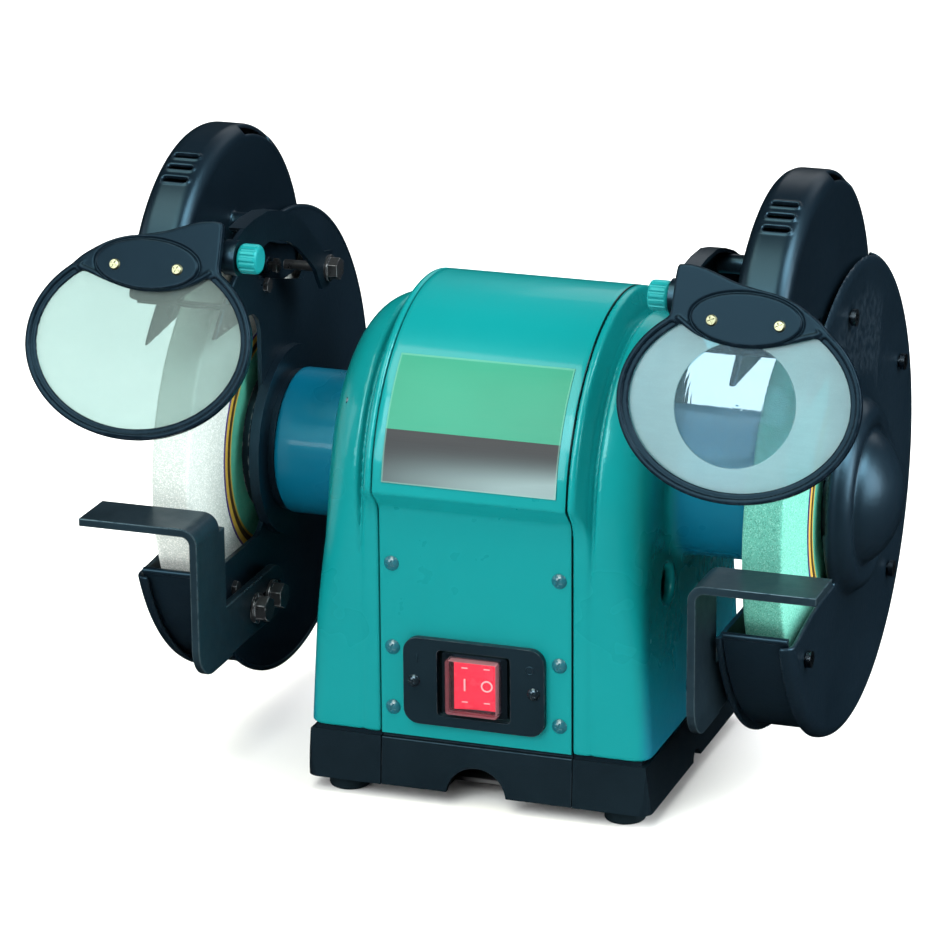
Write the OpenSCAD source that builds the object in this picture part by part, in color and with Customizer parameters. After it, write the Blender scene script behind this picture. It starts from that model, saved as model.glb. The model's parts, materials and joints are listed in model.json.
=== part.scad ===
// Double-wheel bench grinder, 205 mm wheels. Millimetres, +Z up, the shaft lies along X.
// The origin is on the bench, under the middle of the shaft.

/* [Shaft and wheels] */
// Height of the shaft above the bench
axis_h = 150.5; // [148:0.5:156]
// Grinding wheel diameter
wheel_d = 205; // [190:1:207]
// Grinding wheel thickness
wheel_w = 19; // [16:0.5:20]
// Bore of the grinding wheels
arbor_d = 15.88; // [12.7:0.01:16]
// Distance from the middle of the grinder to the middle of a wheel
wheel_x = 145.4; // [145:0.1:146]
// Radius of the clamping flanges
flange_r = 36; // [30:0.5:38]
// Radius of the paper blotters
blotter_r = 58; // [50:0.5:60]

/* [Motor body] */
// Radius of the drum-shaped cover
drum_r = 90.5; // [89:0.5:92]
// Half width of the middle cover
seam_x = 48.3; // [47:0.1:49]
// Distance from the shaft to the flat front panel
panel_y = 80.5; // [79:0.5:82]
// Drop from the shaft to the bottom edge of the painted body
body_drop = 115.7; // [114:0.1:117]
// Half width of the body at its bottom edge
body_x = 85.3; // [84:0.1:87]
// Radius of the bearing boss on each end housing
boss_r = 36; // [34:0.5:36]
// Distance from the middle of the grinder to the end of a boss
boss_x = 119; // [118:0.5:119]

/* [Base] */
// Half width of the base at the bench
base_x = 86.8; // [86:0.1:88]
// Half depth of the base at the bench
base_y = 82; // [81:0.5:84]
// Height of the rubber feet
foot_h = 8.2; // [7:0.1:9]
// Radius of the rubber feet
foot_r = 10; // [9:0.5:11]
// Spacing of the feet and bench bolts across the grinder
foot_dx = 140; // [136:1:142]
// Spacing of the feet and bench bolts from front to back
foot_dy = 132; // [128:1:134]
// Radius of the bench bolt holes
bench_hole_r = 3.3; // [2.5:0.1:3.5]

/* [Wheel guards] */
// Radius of the guard discs
guard_r = 115.5; // [115:0.5:117]
// Inner face of the guard back
guard_in_x = 126.2; // [126:0.1:126.4]
// Outer face of the guard cover
guard_out_x = 163; // [163:0.1:164]
// Sheet thickness of the guards
guard_t = 2.2; // [1.8:0.1:2.4]
// Radius of the spark hood
hood_r = 85; // [84:0.5:85]

/* [Tool rests and shields] */
// Thickness of the tool rest steel
rest_t = 4; // [3:0.1:4]
// Gap between a tool rest and its wheel
rest_gap = 2; // [1.6:0.1:3]
// Tilt of the left eye shield from upright
left_tilt = 24; // [18:1:28]
// Tilt of the right eye shield from upright
right_tilt = 20; // [18:1:28]
// Angle of the rocker in the switch
rocker_tilt = 5; // [3:0.5:5]

/* [Hidden] */

LEFT = -1;
RIGHT = 1;
$fn = 64;
eps = 0.01;
fit = 0.02;

// Stations along the shaft, measured from the middle of the grinder
wheel_in = wheel_x - wheel_w / 2;
wheel_out = wheel_x + wheel_w / 2;
blotter_t = 0.5;
flange_t = 3.6;
nut_t = 10;
flange_in = wheel_in - blotter_t - flange_t;
flange_out = wheel_out + blotter_t + flange_t;
shaft_end = flange_out + nut_t + 2.6;
bearing_x = 99;
bearing_w = 14;
bearing_r = 23.5;
journal_r = 10;
shaft_r = 12;
core_half = 30;

// Body outline
kink_z = 10.6;
sheet_t = 1.6;
rim_x = 56;
bell_x = 59;
flank_x = 80.5;
wall_t = 4;
flank_hole_r = 9.5;
flank_hole_y = 37;
flank_hole_z = -40.5;
tie_r = 73;
tie_angles = [35, 145, 215, 325];

// Base
base_top = axis_h - body_drop - 0.3;
base_step = 2;
base_wall = 3;
arch_r = 15;
arch_h = 13.4;
base_screw_x = 53;
base_screw_y = 73;

// Switch panel, measured from the shaft
switch_z = -86;
bezel_w = 70.7;
bezel_h = 43.6;
bezel_t = 3.4;
frame_w = 32.6;
frame_h = 30.4;
rocker_w = 23;
rocker_h = 25;
rocker_pin_r = 1.4;
rocker_pin_l = 1.8;
screw_x = 41.8;
screw_rows = [-29.3, -71.5, -102];
bezel_screw_x = 30;

// Spark hood: its own centre, measured from the shaft
hood_y = -38;
hood_z = 80;
hood_in_x = 132.2;
hood_out_x = 157.8;
hood_t = 2;
slot_angles = [112.6, 118.1, 123.6];
deflector_screw_x = [140.5, 149.5];
deflector_screw_z = 108;

// Guards
band_r = guard_r - 3.5;
band_t = 1.8;
hub_r = 47;
hood_bolt_pos = [[-11, 91], [-23, 84.5]];
plate_bolt_pos = [-72, -54];
cover_ring_r = 46.6;
cover_ring_x = 171;
groove_r = 34.2;
dome_r = 31.6;
dome_x = 186;
dome_ball_r = 40.3;
lip_angle = 199.8;
cover_screw_pos = [[-84, -52.5], [-12.9, 91.2], [70, -60], [84, 42]];

// Tool rest, measured from the shaft
rest_top = -4.6;
rest_front = -132.6;
rest_in_x = 119.4;
rest_out_x = 179.4;
rest_back = -wheel_d / 2 - rest_gap;
leg_back = -98;
arm_z = -67;
arm_h = 26;
arm_end = -24;
rest_bolt_y = [-62, -42];

// Eye shield: pivot measured from the shaft, face measured along the tilted plate
pivot_y = -108;
pivot_z = 122.3;
lug_r = 8.3;
foot_y = 8;
foot_z = 86.5;
post_y = -47;
post_z = 122;
lug_in_x = 104.2;
lug_out_x = 110.4;
shield_x = 143.4;
shield_a = 56;
shield_b = 45.5;
shield_rim = 5.2;
shield_t = 4.4;
window_t = 1.6;
screw_drop = 10;
oval_drop = screw_drop + 35;
plate_fwd = 10.4;
shield_screw_x = [-15.6, 15.6];
knob_r = 7;
knob_len = 10;
lens_r = 28.5;

// ---------------------------------------------------------------- helpers

// Draws a right-hand piece on the chosen side
module at_side(side) {
    mirror([side < 0 ? 1 : 0, 0, 0]) children();
}

// Extrudes a side-view outline (y, z from the shaft) from x0 to x1
module side_plate(x0, x1) {
    translate([x0, 0, axis_h]) rotate([90, 0, 90]) linear_extrude(x1 - x0) children();
}

// Extrudes a front-view outline (x, z from the shaft) from y0 to y1
module front_plate(y0, y1) {
    translate([0, y1, axis_h]) rotate([90, 0, 0]) linear_extrude(y1 - y0) children();
}

// Cylinder along X, placed by its side-view position
module x_rod(r, x0, x1, y = 0, z = 0) {
    translate([x0, y, axis_h + z]) rotate([0, 90, 0]) cylinder(r = r, h = x1 - x0);
}

// Cylinder along Y, placed by its front-view position
module y_rod(r, y0, y1, x, z) {
    translate([x, y0, axis_h + z]) rotate([-90, 0, 0]) cylinder(r = r, h = y1 - y0);
}

// Hexagonal head or nut along X
module x_hex(r, x0, x1, y, z) {
    translate([x0, y, axis_h + z]) rotate([0, 90, 0]) cylinder(r = r, h = x1 - x0, $fn = 6);
}

// Rectangle with round corners
module round_rect(w, h, r) {
    square([w - 2 * r, h], center = true);
    square([w, h - 2 * r], center = true);
    for (sx = [-1, 1])
        for (sy = [-1, 1])
            translate([sx * (w / 2 - r), sy * (h / 2 - r)]) circle(r);
}

// Solid of revolution about the X axis from a (radius, x) profile
module x_turned(y = 0, z = 0) {
    translate([0, y, axis_h + z]) rotate([0, 90, 0]) rotate_extrude() children();
}

// Half profile of a disc with a rounded outer face edge, from x0 to x1
module pan_profile(r, x0, x1, edge) {
    translate([0, x0]) square([r, x1 - x0 - edge]);
    translate([0, x0]) square([r - edge, x1 - x0]);
    translate([r - edge, x1 - edge]) circle(edge);
}

// ---------------------------------------------------------------- body

// Side view of the drum with its flat front and back panels
module body_outline(inset = 0, drop = body_drop) {
    r = drum_r - inset;
    start = asin(kink_z / r);
    steps = 72;
    drum = [for (i = [0:steps]) let (a = start + (180 - 2 * start) * i / steps) [r * cos(a), r * sin(a)]];
    ledge = [[84 - inset, 5], [81.5 - inset, 0], [panel_y - inset, -6], [panel_y - inset, -drop]];
    front = [for (p = ledge) [-p[0], p[1]]];
    back = [for (i = [len(ledge) - 1:-1:0]) ledge[i]];
    polygon(concat(drum, front, back));
}

// Side view of the bulging outer part of an end housing
module bell_outline(inset = 0) {
    circle(81 - inset, $fn = 128);
    translate([-77 + inset, -body_drop]) square([154 - 2 * inset, body_drop]);
}

// Front view of one end housing: tapered flank and a rounded shoulder
module flank_outline(inset = 0) {
    shoulder = [for (a = [0:9:90]) [58 + (flank_x - 58 - inset) * cos(a), 44 + (37 - inset) * sin(a)]];
    polygon(concat([[seam_x, -body_drop], [body_x - inset, -body_drop], [flank_x - inset, -10]],
        shoulder, [[seam_x, 81 - inset]]));
}

module drum_cover() {
    color("darkcyan") difference() {
        side_plate(-seam_x + 0.15, seam_x - 0.15) body_outline();
        side_plate(-seam_x - 1, seam_x + 1) body_outline(sheet_t, body_drop + 1);
        front_plate(-panel_y - 1, -panel_y + sheet_t + 1) translate([0, switch_z])
            square([frame_w + 2, frame_h + 2], center = true);
        for (sx = [-1, 1]) {
            for (z = screw_rows) y_rod(2.2, -panel_y - 1, -panel_y + 3, sx * screw_x, z);
            y_rod(1.8, -panel_y - 1, -panel_y + 3, sx * bezel_screw_x, switch_z);
        }
        y_rod(8.05, panel_y - 3, panel_y + 1, 26, -98);
    }
}

// Hollow cast end housing with the bearing boss
module end_housing(side) {
    at_side(side) color("teal") difference() {
        union() {
            difference() {
                union() {
                    side_plate(seam_x + 0.15, rim_x) body_outline();
                    side_plate(rim_x - 1, bell_x + 4) intersection() {
                        bell_outline(4);
                        body_outline(4);
                    }
                    intersection() {
                        side_plate(bell_x, body_x) bell_outline();
                        front_plate(-100, 100) flank_outline();
                    }
                }
                intersection() {
                    side_plate(seam_x - 1, body_x - wall_t) bell_outline(8);
                    front_plate(-100, 100) flank_outline(wall_t);
                }
            }
            x_rod(boss_r, flank_x - wall_t - 2, boss_x);
            for (s = [-1, 1])
                x_rod(flank_hole_r + 3, flank_x - 14, flank_x - 1, s * flank_hole_y, flank_hole_z);
            difference() {
                x_rod(70, core_half + 0.1, flank_x - wall_t);
                x_rod(66, core_half, flank_x);
            }
            for (z = screw_rows)
                front_plate(-panel_y + sheet_t + 0.1, -panel_y + 9) translate([screw_x - 5, z - 5])
                    square([seam_x - screw_x + 7, 10]);
        }
        x_rod(bearing_r, bearing_x, boss_x + 1);
        x_rod(shaft_r + 1.5, flank_x - 20, boss_x);
        for (s = [-1, 1])
            x_rod(flank_hole_r, flank_x - 11, body_x + 1, s * flank_hole_y, flank_hole_z);
        for (a = [45:90:315])
            x_rod(1.9, boss_x - 12, boss_x + 1, 29.5 * cos(a), 29.5 * sin(a));
        for (a = tie_angles) x_rod(2.6, core_half, flank_x - 8, tie_r * cos(a), tie_r * sin(a));
        for (s = [-1, 1])
            translate([base_screw_x, s * base_screw_y, 0]) cylinder(r = 1.55, h = base_top + 14);
        for (z = screw_rows) y_rod(1.95, -panel_y, -panel_y + 9, screw_x, z);
    }
}

// ---------------------------------------------------------------- base

// Outer form of the whole base with its slight draft and round corners
module base_form(inset = 0) {
    low = foot_h - axis_h;
    high = base_top - axis_h;
    intersection() {
        front_plate(-100, 100) polygon([[-base_x + inset, low], [base_x - inset, low],
            [84.2 - inset, high - inset], [-84.2 + inset, high - inset]]);
        side_plate(-100, 100) polygon([[-base_y + inset, low], [base_y - inset, low],
            [base_y - 1.6 - inset, high - inset], [-base_y + 1.6 + inset, high - inset]]);
        linear_extrude(base_top) round_rect(2 * (base_x - inset), 2 * (base_y - inset), 6);
    }
}

// Arch-shaped opening at the bench edge
module arch(w, h) {
    intersection() {
        translate([0, h - w]) circle(w);
        translate([-w, -1]) square([2 * w, h + 2]);
    }
}

// One section of the base between two stations along X
module base_section(x0, x1) {
    low = foot_h - axis_h;
    difference() {
        intersection() {
            base_form();
            translate([x0, -100, 0]) cube([x1 - x0, 200, axis_h]);
        }
        intersection() {
            translate([0, 0, -eps]) base_form(base_wall);
            translate([x0 - 1, -100, foot_h - 1]) cube([x1 - x0 + 2, 200, base_top - foot_h + 1 - base_wall]);
        }
        for (s = [-1, 1]) {
            translate([-100, s * (base_y + 46.2) - 50, base_top - base_step]) cube([200, 100, 10]);
            translate([s * (base_x + 45.2) - 50, -100, base_top - base_step]) cube([100, 200, 10]);
            for (t = [-1, 1])
                translate([s * base_screw_x, t * base_screw_y, 0]) cylinder(r = 1.7, h = base_top + 1);
        }
        translate([0, 0, low]) {
            front_plate(-100, 100) arch(arch_r, arch_h);
            side_plate(-100, 100) translate([-2.5, 0]) arch(6.5, 5);
        }
    }
}

// End section of the base, with the columns over two feet
module base_end(side) {
    at_side(side) color("#2b2d30") difference() {
        union() {
            base_section(seam_x + 0.15, base_x + 1);
            for (s = [-1, 1])
                translate([foot_dx / 2, s * foot_dy / 2, foot_h]) cylinder(r = 8, h = base_top - foot_h - 1);
        }
        for (s = [-1, 1])
            translate([foot_dx / 2, s * foot_dy / 2, foot_h - 1]) cylinder(r = bench_hole_r, h = 60);
    }
}

module base_centre() {
    color("#33363a") base_section(-seam_x + 0.15, seam_x - 0.15);
}

module bottom_plate() {
    color("#8d9094") difference() {
        translate([0, 0, foot_h + 0.4]) linear_extrude(2)
            round_rect(2 * (base_x - base_wall) - 1.4, 2 * (base_y - base_wall) - 1.4, 4);
        for (s = [-1, 1]) {
            for (t = [-1, 1])
                translate([s * foot_dx / 2, t * foot_dy / 2, 0]) cylinder(r = 8.3, h = 30);
            translate([-arch_r - 1, s * 100 - 34, 0]) cube([2 * arch_r + 2, 68, 30]);
            translate([s * 100 - 22, -9, 0]) cube([44, 18, 30]);
        }
    }
}

// Pan-head screws that hold the base up to the end housings
module base_screws() {
    head_z = base_top - base_wall;
    color("#a5a9ac")
        for (sx = [-1, 1])
            for (sy = [-1, 1]) translate([sx * base_screw_x, sy * base_screw_y, 0]) difference() {
                union() {
                    translate([0, 0, head_z - 2]) cylinder(r = 2.9, h = 2 - eps);
                    translate([0, 0, head_z - 1]) cylinder(r = 1.5, h = 14);
                }
                translate([0, 0, head_z - 3]) cylinder(r = 1.3, h = 2.1, $fn = 6);
            }
}

module rubber_feet() {
    color("#1b1b1c")
        for (sx = [-1, 1])
            for (sy = [-1, 1])
                translate([sx * foot_dx / 2, sy * foot_dy / 2, 0]) difference() {
                    rotate_extrude() union() {
                        translate([0, 1.5]) square([foot_r, foot_h - 1.5]);
                        square([foot_r - 1.5, foot_h]);
                        translate([foot_r - 1.5, 1.5]) circle(1.5);
                    }
                    translate([0, 0, -1]) cylinder(r = bench_hole_r, h = foot_h + 2);
                }
}

// ---------------------------------------------------------------- motor and electrics

module stator_core() {
    slots = 24;
    color("#6b6f73") difference() {
        x_rod(70 - 0.1, -core_half, core_half);
        x_rod(38, -core_half - 1, core_half + 1);
        for (i = [0:slots - 1])
            translate([0, 0, axis_h]) rotate([i * 360 / slots, 0, 0])
                translate([-core_half - 1, 40, -2.2]) cube([2 * core_half + 2, 14, 4.4]);
    }
}

module stator_windings() {
    color("#a4562a")
        for (s = [-1, 1]) at_side(s) difference() {
            x_rod(61, core_half + 0.2, core_half + 17);
            x_rod(42, core_half, core_half + 18);
        }
}

module capacitor() {
    cap_z = 16.1 - body_drop - 0.3;
    color("#d9d9d4") {
        x_rod(16, -38, 12, 30, cap_z);
        for (y = [24, 36]) x_rod(3, 12, 18, y, cap_z);
    }
}

module terminal_block() {
    color("#e4e2da") difference() {
        translate([-18, -10, base_top + 0.3]) cube([34, 18, 16]);
        for (i = [0:3])
            translate([-13.5 + i * 8, -1, base_top + 8]) cylinder(r = 2.4, h = 12);
    }
}

module cable_gland() {
    color("#1e1f20") difference() {
        union() {
            y_rod(8, panel_y - 8, panel_y + 2, 26, -98);
            y_rod(11, panel_y, panel_y + 4, 26, -98);
            y_rod(8.6, panel_y + 4, panel_y + 13, 26, -98);
        }
        y_rod(4, panel_y - 9, panel_y + 14, 26, -98);
    }
}

// Curved label that wraps the front of the drum
module front_label() {
    label_x = 43;
    label_t = 0.4;
    low_angle = 8.8;
    high_angle = 49;
    color("#7fa9a5") translate([-label_x, 0, axis_h]) rotate([90, 0, 90]) rotate([0, 0, 180 - high_angle])
        rotate_extrude(angle = high_angle - low_angle, $fn = 128)
            translate([drum_r + eps, 0]) square([label_t, 2 * label_x]);
}

// Domed cross-head screw pointing forwards, its head under y0
module panel_screw(x, z, y0, head_r, body_r) {
    difference() {
        union() {
            translate([x, y0, axis_h + z]) rotate([90, 0, 0]) rotate_extrude() intersection() {
                translate([0, -head_r * 1.2 + 2]) circle(head_r * 1.25);
                square([head_r, 3]);
            }
            y_rod(body_r, y0 - eps, y0 + 7, x, z);
        }
        for (a = [0, 90])
            translate([x, y0 - 2.6, axis_h + z]) rotate([0, a + 20, 0])
                translate([-head_r * 0.55, -1, -0.45]) cube([head_r * 1.1, 2, 0.9]);
    }
}

module panel_screws() {
    color("#4f8f93")
        for (s = [-1, 1])
            for (z = screw_rows) panel_screw(s * screw_x, z, -panel_y, 3.7, 1.9);
}

module bezel_screws() {
    color("#202122")
        for (s = [-1, 1]) panel_screw(s * bezel_screw_x, switch_z, -panel_y - bezel_t, 3.2, 1.5);
}

module switch_bezel() {
    color("#17181a") difference() {
        front_plate(-panel_y - bezel_t, -panel_y - eps) translate([0, switch_z])
            round_rect(bezel_w, bezel_h, 7.5);
        front_plate(-panel_y - 10, -panel_y + 1) translate([0, switch_z])
            round_rect(frame_w + 4, frame_h + 3, 2);
        for (s = [-1, 1])
            y_rod(1.7, -panel_y - 10, -panel_y + 1, s * bezel_screw_x, switch_z);
    }
}

// Fixed frame and contact block of the switch
module switch_body() {
    color("#0f0f10") difference() {
        union() {
            front_plate(-panel_y - 1.6, -panel_y + 24) translate([0, switch_z])
                round_rect(frame_w, frame_h, 1.2);
            for (s = [-1, 1])
                front_plate(-panel_y + 24, -panel_y + 33) translate([s * 8, switch_z])
                    square([0.8, 6.3], center = true);
        }
        front_plate(-panel_y - 3, -panel_y + 9) translate([0, switch_z])
            square([rocker_w + 1.6, rocker_h + 1.2], center = true);
        translate([0, -panel_y + 4, axis_h + switch_z])
            cylinder(r = rocker_pin_r + 0.05, h = rocker_h + 2 * rocker_pin_l + 0.4, center = true);
    }
}

// Lens-topped paddle that tilts about its upright pin
module switch_rocker() {
    pin_y = -panel_y + 4;
    half = rocker_w / 2 - 0.9;
    color("#d6202c") translate([0, pin_y, axis_h + switch_z - rocker_h / 2]) rotate([0, 0, rocker_tilt]) {
        linear_extrude(rocker_h)
            polygon([[-half, -5.4], [-half * 0.5, -4.7], [0, -4.4], [half * 0.5, -4.7], [half, -5.4],
                [half * 0.86, 0.4], [3, 3.4], [-3, 3.4], [-half * 0.86, 0.4]]);
        translate([0, 0, -rocker_pin_l]) cylinder(r = rocker_pin_r, h = rocker_h + 2 * rocker_pin_l);
    }
}

// Clear box that snaps over the rocker
module switch_cover() {
    cover_w = rocker_w + 3;
    cover_h = rocker_h + 2.6;
    color("#e8a7a7", 0.4) difference() {
        front_plate(-panel_y - 7.2, -panel_y - 1.62) translate([0, switch_z])
            round_rect(cover_w, cover_h, 1.5);
        front_plate(-panel_y - 6.2, -panel_y) translate([0, switch_z])
            round_rect(cover_w - 2, cover_h - 1.6, 0.7);
    }
}

module tie_bolts() {
    color("#b6babd")
        for (a = tie_angles) x_rod(2.5, -flank_x + 10, flank_x - 10, tie_r * cos(a), tie_r * sin(a));
}

module shaft_bearings() {
    color("#c9ccce")
        for (s = [-1, 1]) at_side(s) difference() {
            x_rod(bearing_r - fit, bearing_x, bearing_x + bearing_w);
            x_rod(journal_r + fit, bearing_x - 1, bearing_x + bearing_w + 1);
            difference() {
                x_rod(19.5, bearing_x - 1, bearing_x + 1.2);
                x_rod(13.5, bearing_x - 2, bearing_x + 2);
            }
            difference() {
                x_rod(19.5, bearing_x + bearing_w - 1.2, bearing_x + bearing_w + 1);
                x_rod(13.5, bearing_x + bearing_w - 2, bearing_x + bearing_w + 2);
            }
        }
}

// ---------------------------------------------------------------- rotor

module shaft() {
    color("#bfc3c6") {
        x_rod(shaft_r, -bearing_x + 0.2, bearing_x - 0.2);
        for (s = [-1, 1]) at_side(s) {
            x_rod(journal_r, bearing_x - 0.2, flange_in);
            x_rod(arbor_d / 2 - fit, flange_in, shaft_end);
        }
    }
}

module rotor_core() {
    color("#85898c") difference() {
        union() {
            x_rod(37.5, -core_half, core_half);
            for (s = [-1, 1]) at_side(s) x_rod(34, core_half, core_half + 6);
        }
        x_rod(shaft_r, -core_half - 10, core_half + 10);
    }
}

module wheel() {
    difference() {
        x_rod(wheel_d / 2, wheel_in, wheel_out);
        x_rod(arbor_d / 2 + fit, wheel_in - 1, wheel_out + 1);
    }
}

module left_wheel() {
    color("#e9e9e4") at_side(LEFT) wheel();
}

module right_wheel() {
    color("#6fa392") at_side(RIGHT) wheel();
}

module wheel_blotters() {
    color("#8a7a3c")
        for (s = [-1, 1]) at_side(s)
            for (x = [wheel_in - blotter_t, wheel_out]) difference() {
                x_rod(blotter_r, x, x + blotter_t);
                x_rod(arbor_d / 2 + fit, x - 1, x + blotter_t + 1);
            }
}

// Dished steel clamping flange, its rim towards x0
module flange(x0, x1) {
    difference() {
        x_rod(flange_r, min(x0, x1), max(x0, x1));
        x_rod(arbor_d / 2 + fit, min(x0, x1) - 1, max(x0, x1) + 1);
        difference() {
            x_rod(flange_r - 9, x0 - 1, x0 + 1);
            x_rod(arbor_d / 2 + 4, min(x0, x1) - 1, max(x0, x1) + 1);
        }
    }
}

module inner_flanges() {
    color("#3a3c3f")
        for (s = [-1, 1]) at_side(s) flange(wheel_in - blotter_t, flange_in);
}

module outer_flanges() {
    color("#9fa3a6")
        for (s = [-1, 1]) at_side(s) flange(wheel_out + blotter_t, flange_out);
}

module spindle_nut(side) {
    color("#a9adb0") at_side(side) difference() {
        x_hex(13.8, flange_out, flange_out + nut_t, 0, 0);
        x_rod(arbor_d / 2, flange_out - 1, flange_out + nut_t + 1);
    }
}

// ---------------------------------------------------------------- guards

// Side view of the opening in front of a wheel
module front_opening(back_y, low) {
    high = 75;
    round_r = 14;
    translate([-200, low + round_r]) square([200 + back_y, high - low - 2 * round_r]);
    translate([-200, low]) square([200 + back_y - round_r, high - low]);
    translate([back_y - round_r, low + round_r]) circle(round_r);
    translate([back_y - round_r, high - round_r]) circle(round_r);
}

// Inner disc with its hub over the boss and the pad for the tool rest
module guard_back(side) {
    pad_x = rest_in_x + rest_t + 0.3;
    color("#1d1e20") at_side(side) difference() {
        union() {
            difference() {
                x_turned() pan_profile(guard_r, guard_in_x, guard_in_x + guard_t, 1.4);
                side_plate(guard_in_x - 5, 140) front_opening(-30, -38);
                side_plate(guard_in_x - 5, guard_in_x + 5)
                    polygon([[-32, 90], [26, 74.3], [33, 80], [30, 91], [-3, 100], [-16, 104.2],
                        [-29, 106.4]]);
            }
            x_rod(hub_r, guard_in_x - 4, guard_in_x + 1);
            x_rod(35, boss_x + 0.1, guard_in_x);
            side_plate(pad_x, guard_in_x + 1) {
                translate([rest_bolt_y[0], arm_z - 9]) square([rest_bolt_y[1] - rest_bolt_y[0], 18]);
                for (y = rest_bolt_y) translate([y, arm_z]) circle(9);
            }
        }
        x_rod(shaft_r + 3, boss_x - 1, 140);
        for (a = [45:90:315])
            x_rod(2.3, boss_x - 1, 140, 29.5 * cos(a), 29.5 * sin(a));
        for (y = rest_bolt_y) x_rod(3.1, pad_x - 1, 140, y, arm_z);
        for (p = concat(hood_bolt_pos, [plate_bolt_pos])) x_rod(2.1, guard_in_x - 1, 140, p[0], p[1]);
    }
}

// Rim band round the wheel, from the beaded front lip under and behind to the hood
module guard_band(side) {
    end_angle = 64;
    x0 = guard_in_x + guard_t + 0.1;
    x1 = guard_out_x - guard_t - 1.6;
    lip_r = band_r - band_t / 2 - 0.2;
    bead_r = 1.6;
    reach = 2 * guard_r;
    gap = [for (a = [end_angle:(lip_angle - end_angle) / 6:lip_angle]) [reach * cos(a), reach * sin(a)]];
    color("#232527") at_side(side) {
        difference() {
            x_rod(band_r, x0, x1);
            x_rod(band_r - band_t, x0 - 1, x1 + 1);
            side_plate(x0 - 1, x1 + 1) polygon(concat([[0, 0]], gap));
        }
        x_rod(bead_r, x0, x1, lip_r * cos(lip_angle), lip_r * sin(lip_angle));
    }
}

// Half profile of the ball-shaped dome over the spindle nut
module dome_profile(inset) {
    intersection() {
        translate([0, dome_x - dome_ball_r]) circle(dome_ball_r - inset, $fn = 128);
        translate([0, guard_out_x - inset]) square([dome_r - inset, dome_x]);
    }
}

// Outer cover with its raised ring and the dome over the spindle nut
module guard_cover(side) {
    color("#24262a") at_side(side) difference() {
        union() {
            difference() {
                x_turned() pan_profile(guard_r + 0.5, 155.6, guard_out_x, 5);
                x_turned() translate([0, -guard_t]) pan_profile(guard_r + 0.5 - guard_t, 150, guard_out_x, 3);
                side_plate(150, 170) front_opening(-24, -38);
            }
            difference() {
                x_turned() pan_profile(cover_ring_r, guard_out_x - 1, cover_ring_x, 6);
                x_rod(groove_r, cover_ring_x - guard_t, cover_ring_x + 1);
            }
            x_turned() dome_profile(0);
        }
        x_rod(cover_ring_r - guard_t, 150, cover_ring_x - 2.2 * guard_t);
        difference() {
            x_turned() pan_profile(cover_ring_r - guard_t, 150, cover_ring_x - guard_t, 4);
            x_rod(groove_r + guard_t, 149, cover_ring_x);
        }
        x_turned() dome_profile(guard_t);
        for (p = cover_screw_pos) x_rod(2.3, 150, 180, p[0], p[1]);
        x_rod(hood_r + 0.3, 150, guard_out_x - guard_t - 0.1, hood_y, hood_z);
    }
}

// Side view of the part of the hood that is kept
module hood_region() {
    polygon([[-130, 101], [-96, 101], [-52, 101], [-34, 76], [20, 71], [43, 66], [47, 92], [47, 113],
        [47, 180], [-130, 180]]);
}

// Broad channel-shaped hood over the top front of the wheel
module spark_hood(side) {
    color("#1b1c1f") at_side(side) difference() {
        union() {
            intersection() {
                x_turned(hood_y, hood_z) difference() {
                    hood_profile(hood_r, hood_in_x, hood_out_x, 6);
                    hood_profile(hood_r - hood_t, hood_in_x + hood_t, hood_out_x - hood_t, 4);
                }
                side_plate(hood_in_x - 1, hood_out_x + 1) hood_region();
            }
            for (x = deflector_screw_x) y_rod(3.6, -117, -109.9, x, deflector_screw_z);
            x_rod(4.6, 107.8, hood_in_x + 1, post_y, post_z);
            x_rod(4.2, guard_in_x, hood_in_x + 1, hood_bolt_pos[0][0], hood_bolt_pos[0][1]);
            x_rod(4.2, guard_in_x + guard_t + 0.1, hood_in_x + 1, hood_bolt_pos[1][0], hood_bolt_pos[1][1]);
            x_rod(7, 107.7, hood_in_x + 1, foot_y, foot_z);
        }
        x_rod(2.6, 100, hood_in_x - 2, foot_y, foot_z);
        for (p = hood_bolt_pos) x_rod(2.1, guard_in_x, hood_in_x - 1, p[0], p[1]);
        for (x = deflector_screw_x) y_rod(1.55, -115.5, -109, x, deflector_screw_z);
        x_rod(wheel_d / 2 + 2.5, hood_in_x + hood_t + 0.4, hood_out_x + 1);
        for (a = slot_angles)
            translate([wheel_x, hood_y, axis_h + hood_z]) rotate([a, 0, 0])
                translate([0, hood_r, 0]) rotate([90, 0, 0]) linear_extrude(12, center = true)
                    round_rect(12.5, 3, 1.49);
    }
}

// Half profile of a wheel-like body with both outer edges rounded
module hood_profile(r, x0, x1, edge) {
    translate([0, x0]) square([r - edge, x1 - x0]);
    translate([0, x0 + edge]) square([r, x1 - x0 - 2 * edge]);
    translate([r - edge, x0 + edge]) circle(edge);
    translate([r - edge, x1 - edge]) circle(edge);
}

// Adjustable spark deflector: a slotted flange inside the hood and a sloping plate under it
module deflector(side) {
    flange_y = -109.4;
    tip_y = -86;
    t = 1.6;
    color("#2e3033") at_side(side) {
        difference() {
            front_plate(flange_y, flange_y + t) translate([136, 98.2]) square([18, 18.8]);
            for (x = deflector_screw_x)
                front_plate(flange_y - 1, flange_y + 3) translate([x, deflector_screw_z])
                    round_rect(3.6, 11, 1.79);
        }
        side_plate(114, 156) polygon([[flange_y, 98.2], [flange_y + t, 98.2], [tip_y, 92.6], [tip_y, 91],
            [flange_y, 96.6]]);
        front_plate(tip_y - t, tip_y) polygon([[145.6, 92], [149, 82.4], [152.4, 92]]);
    }
}

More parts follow.
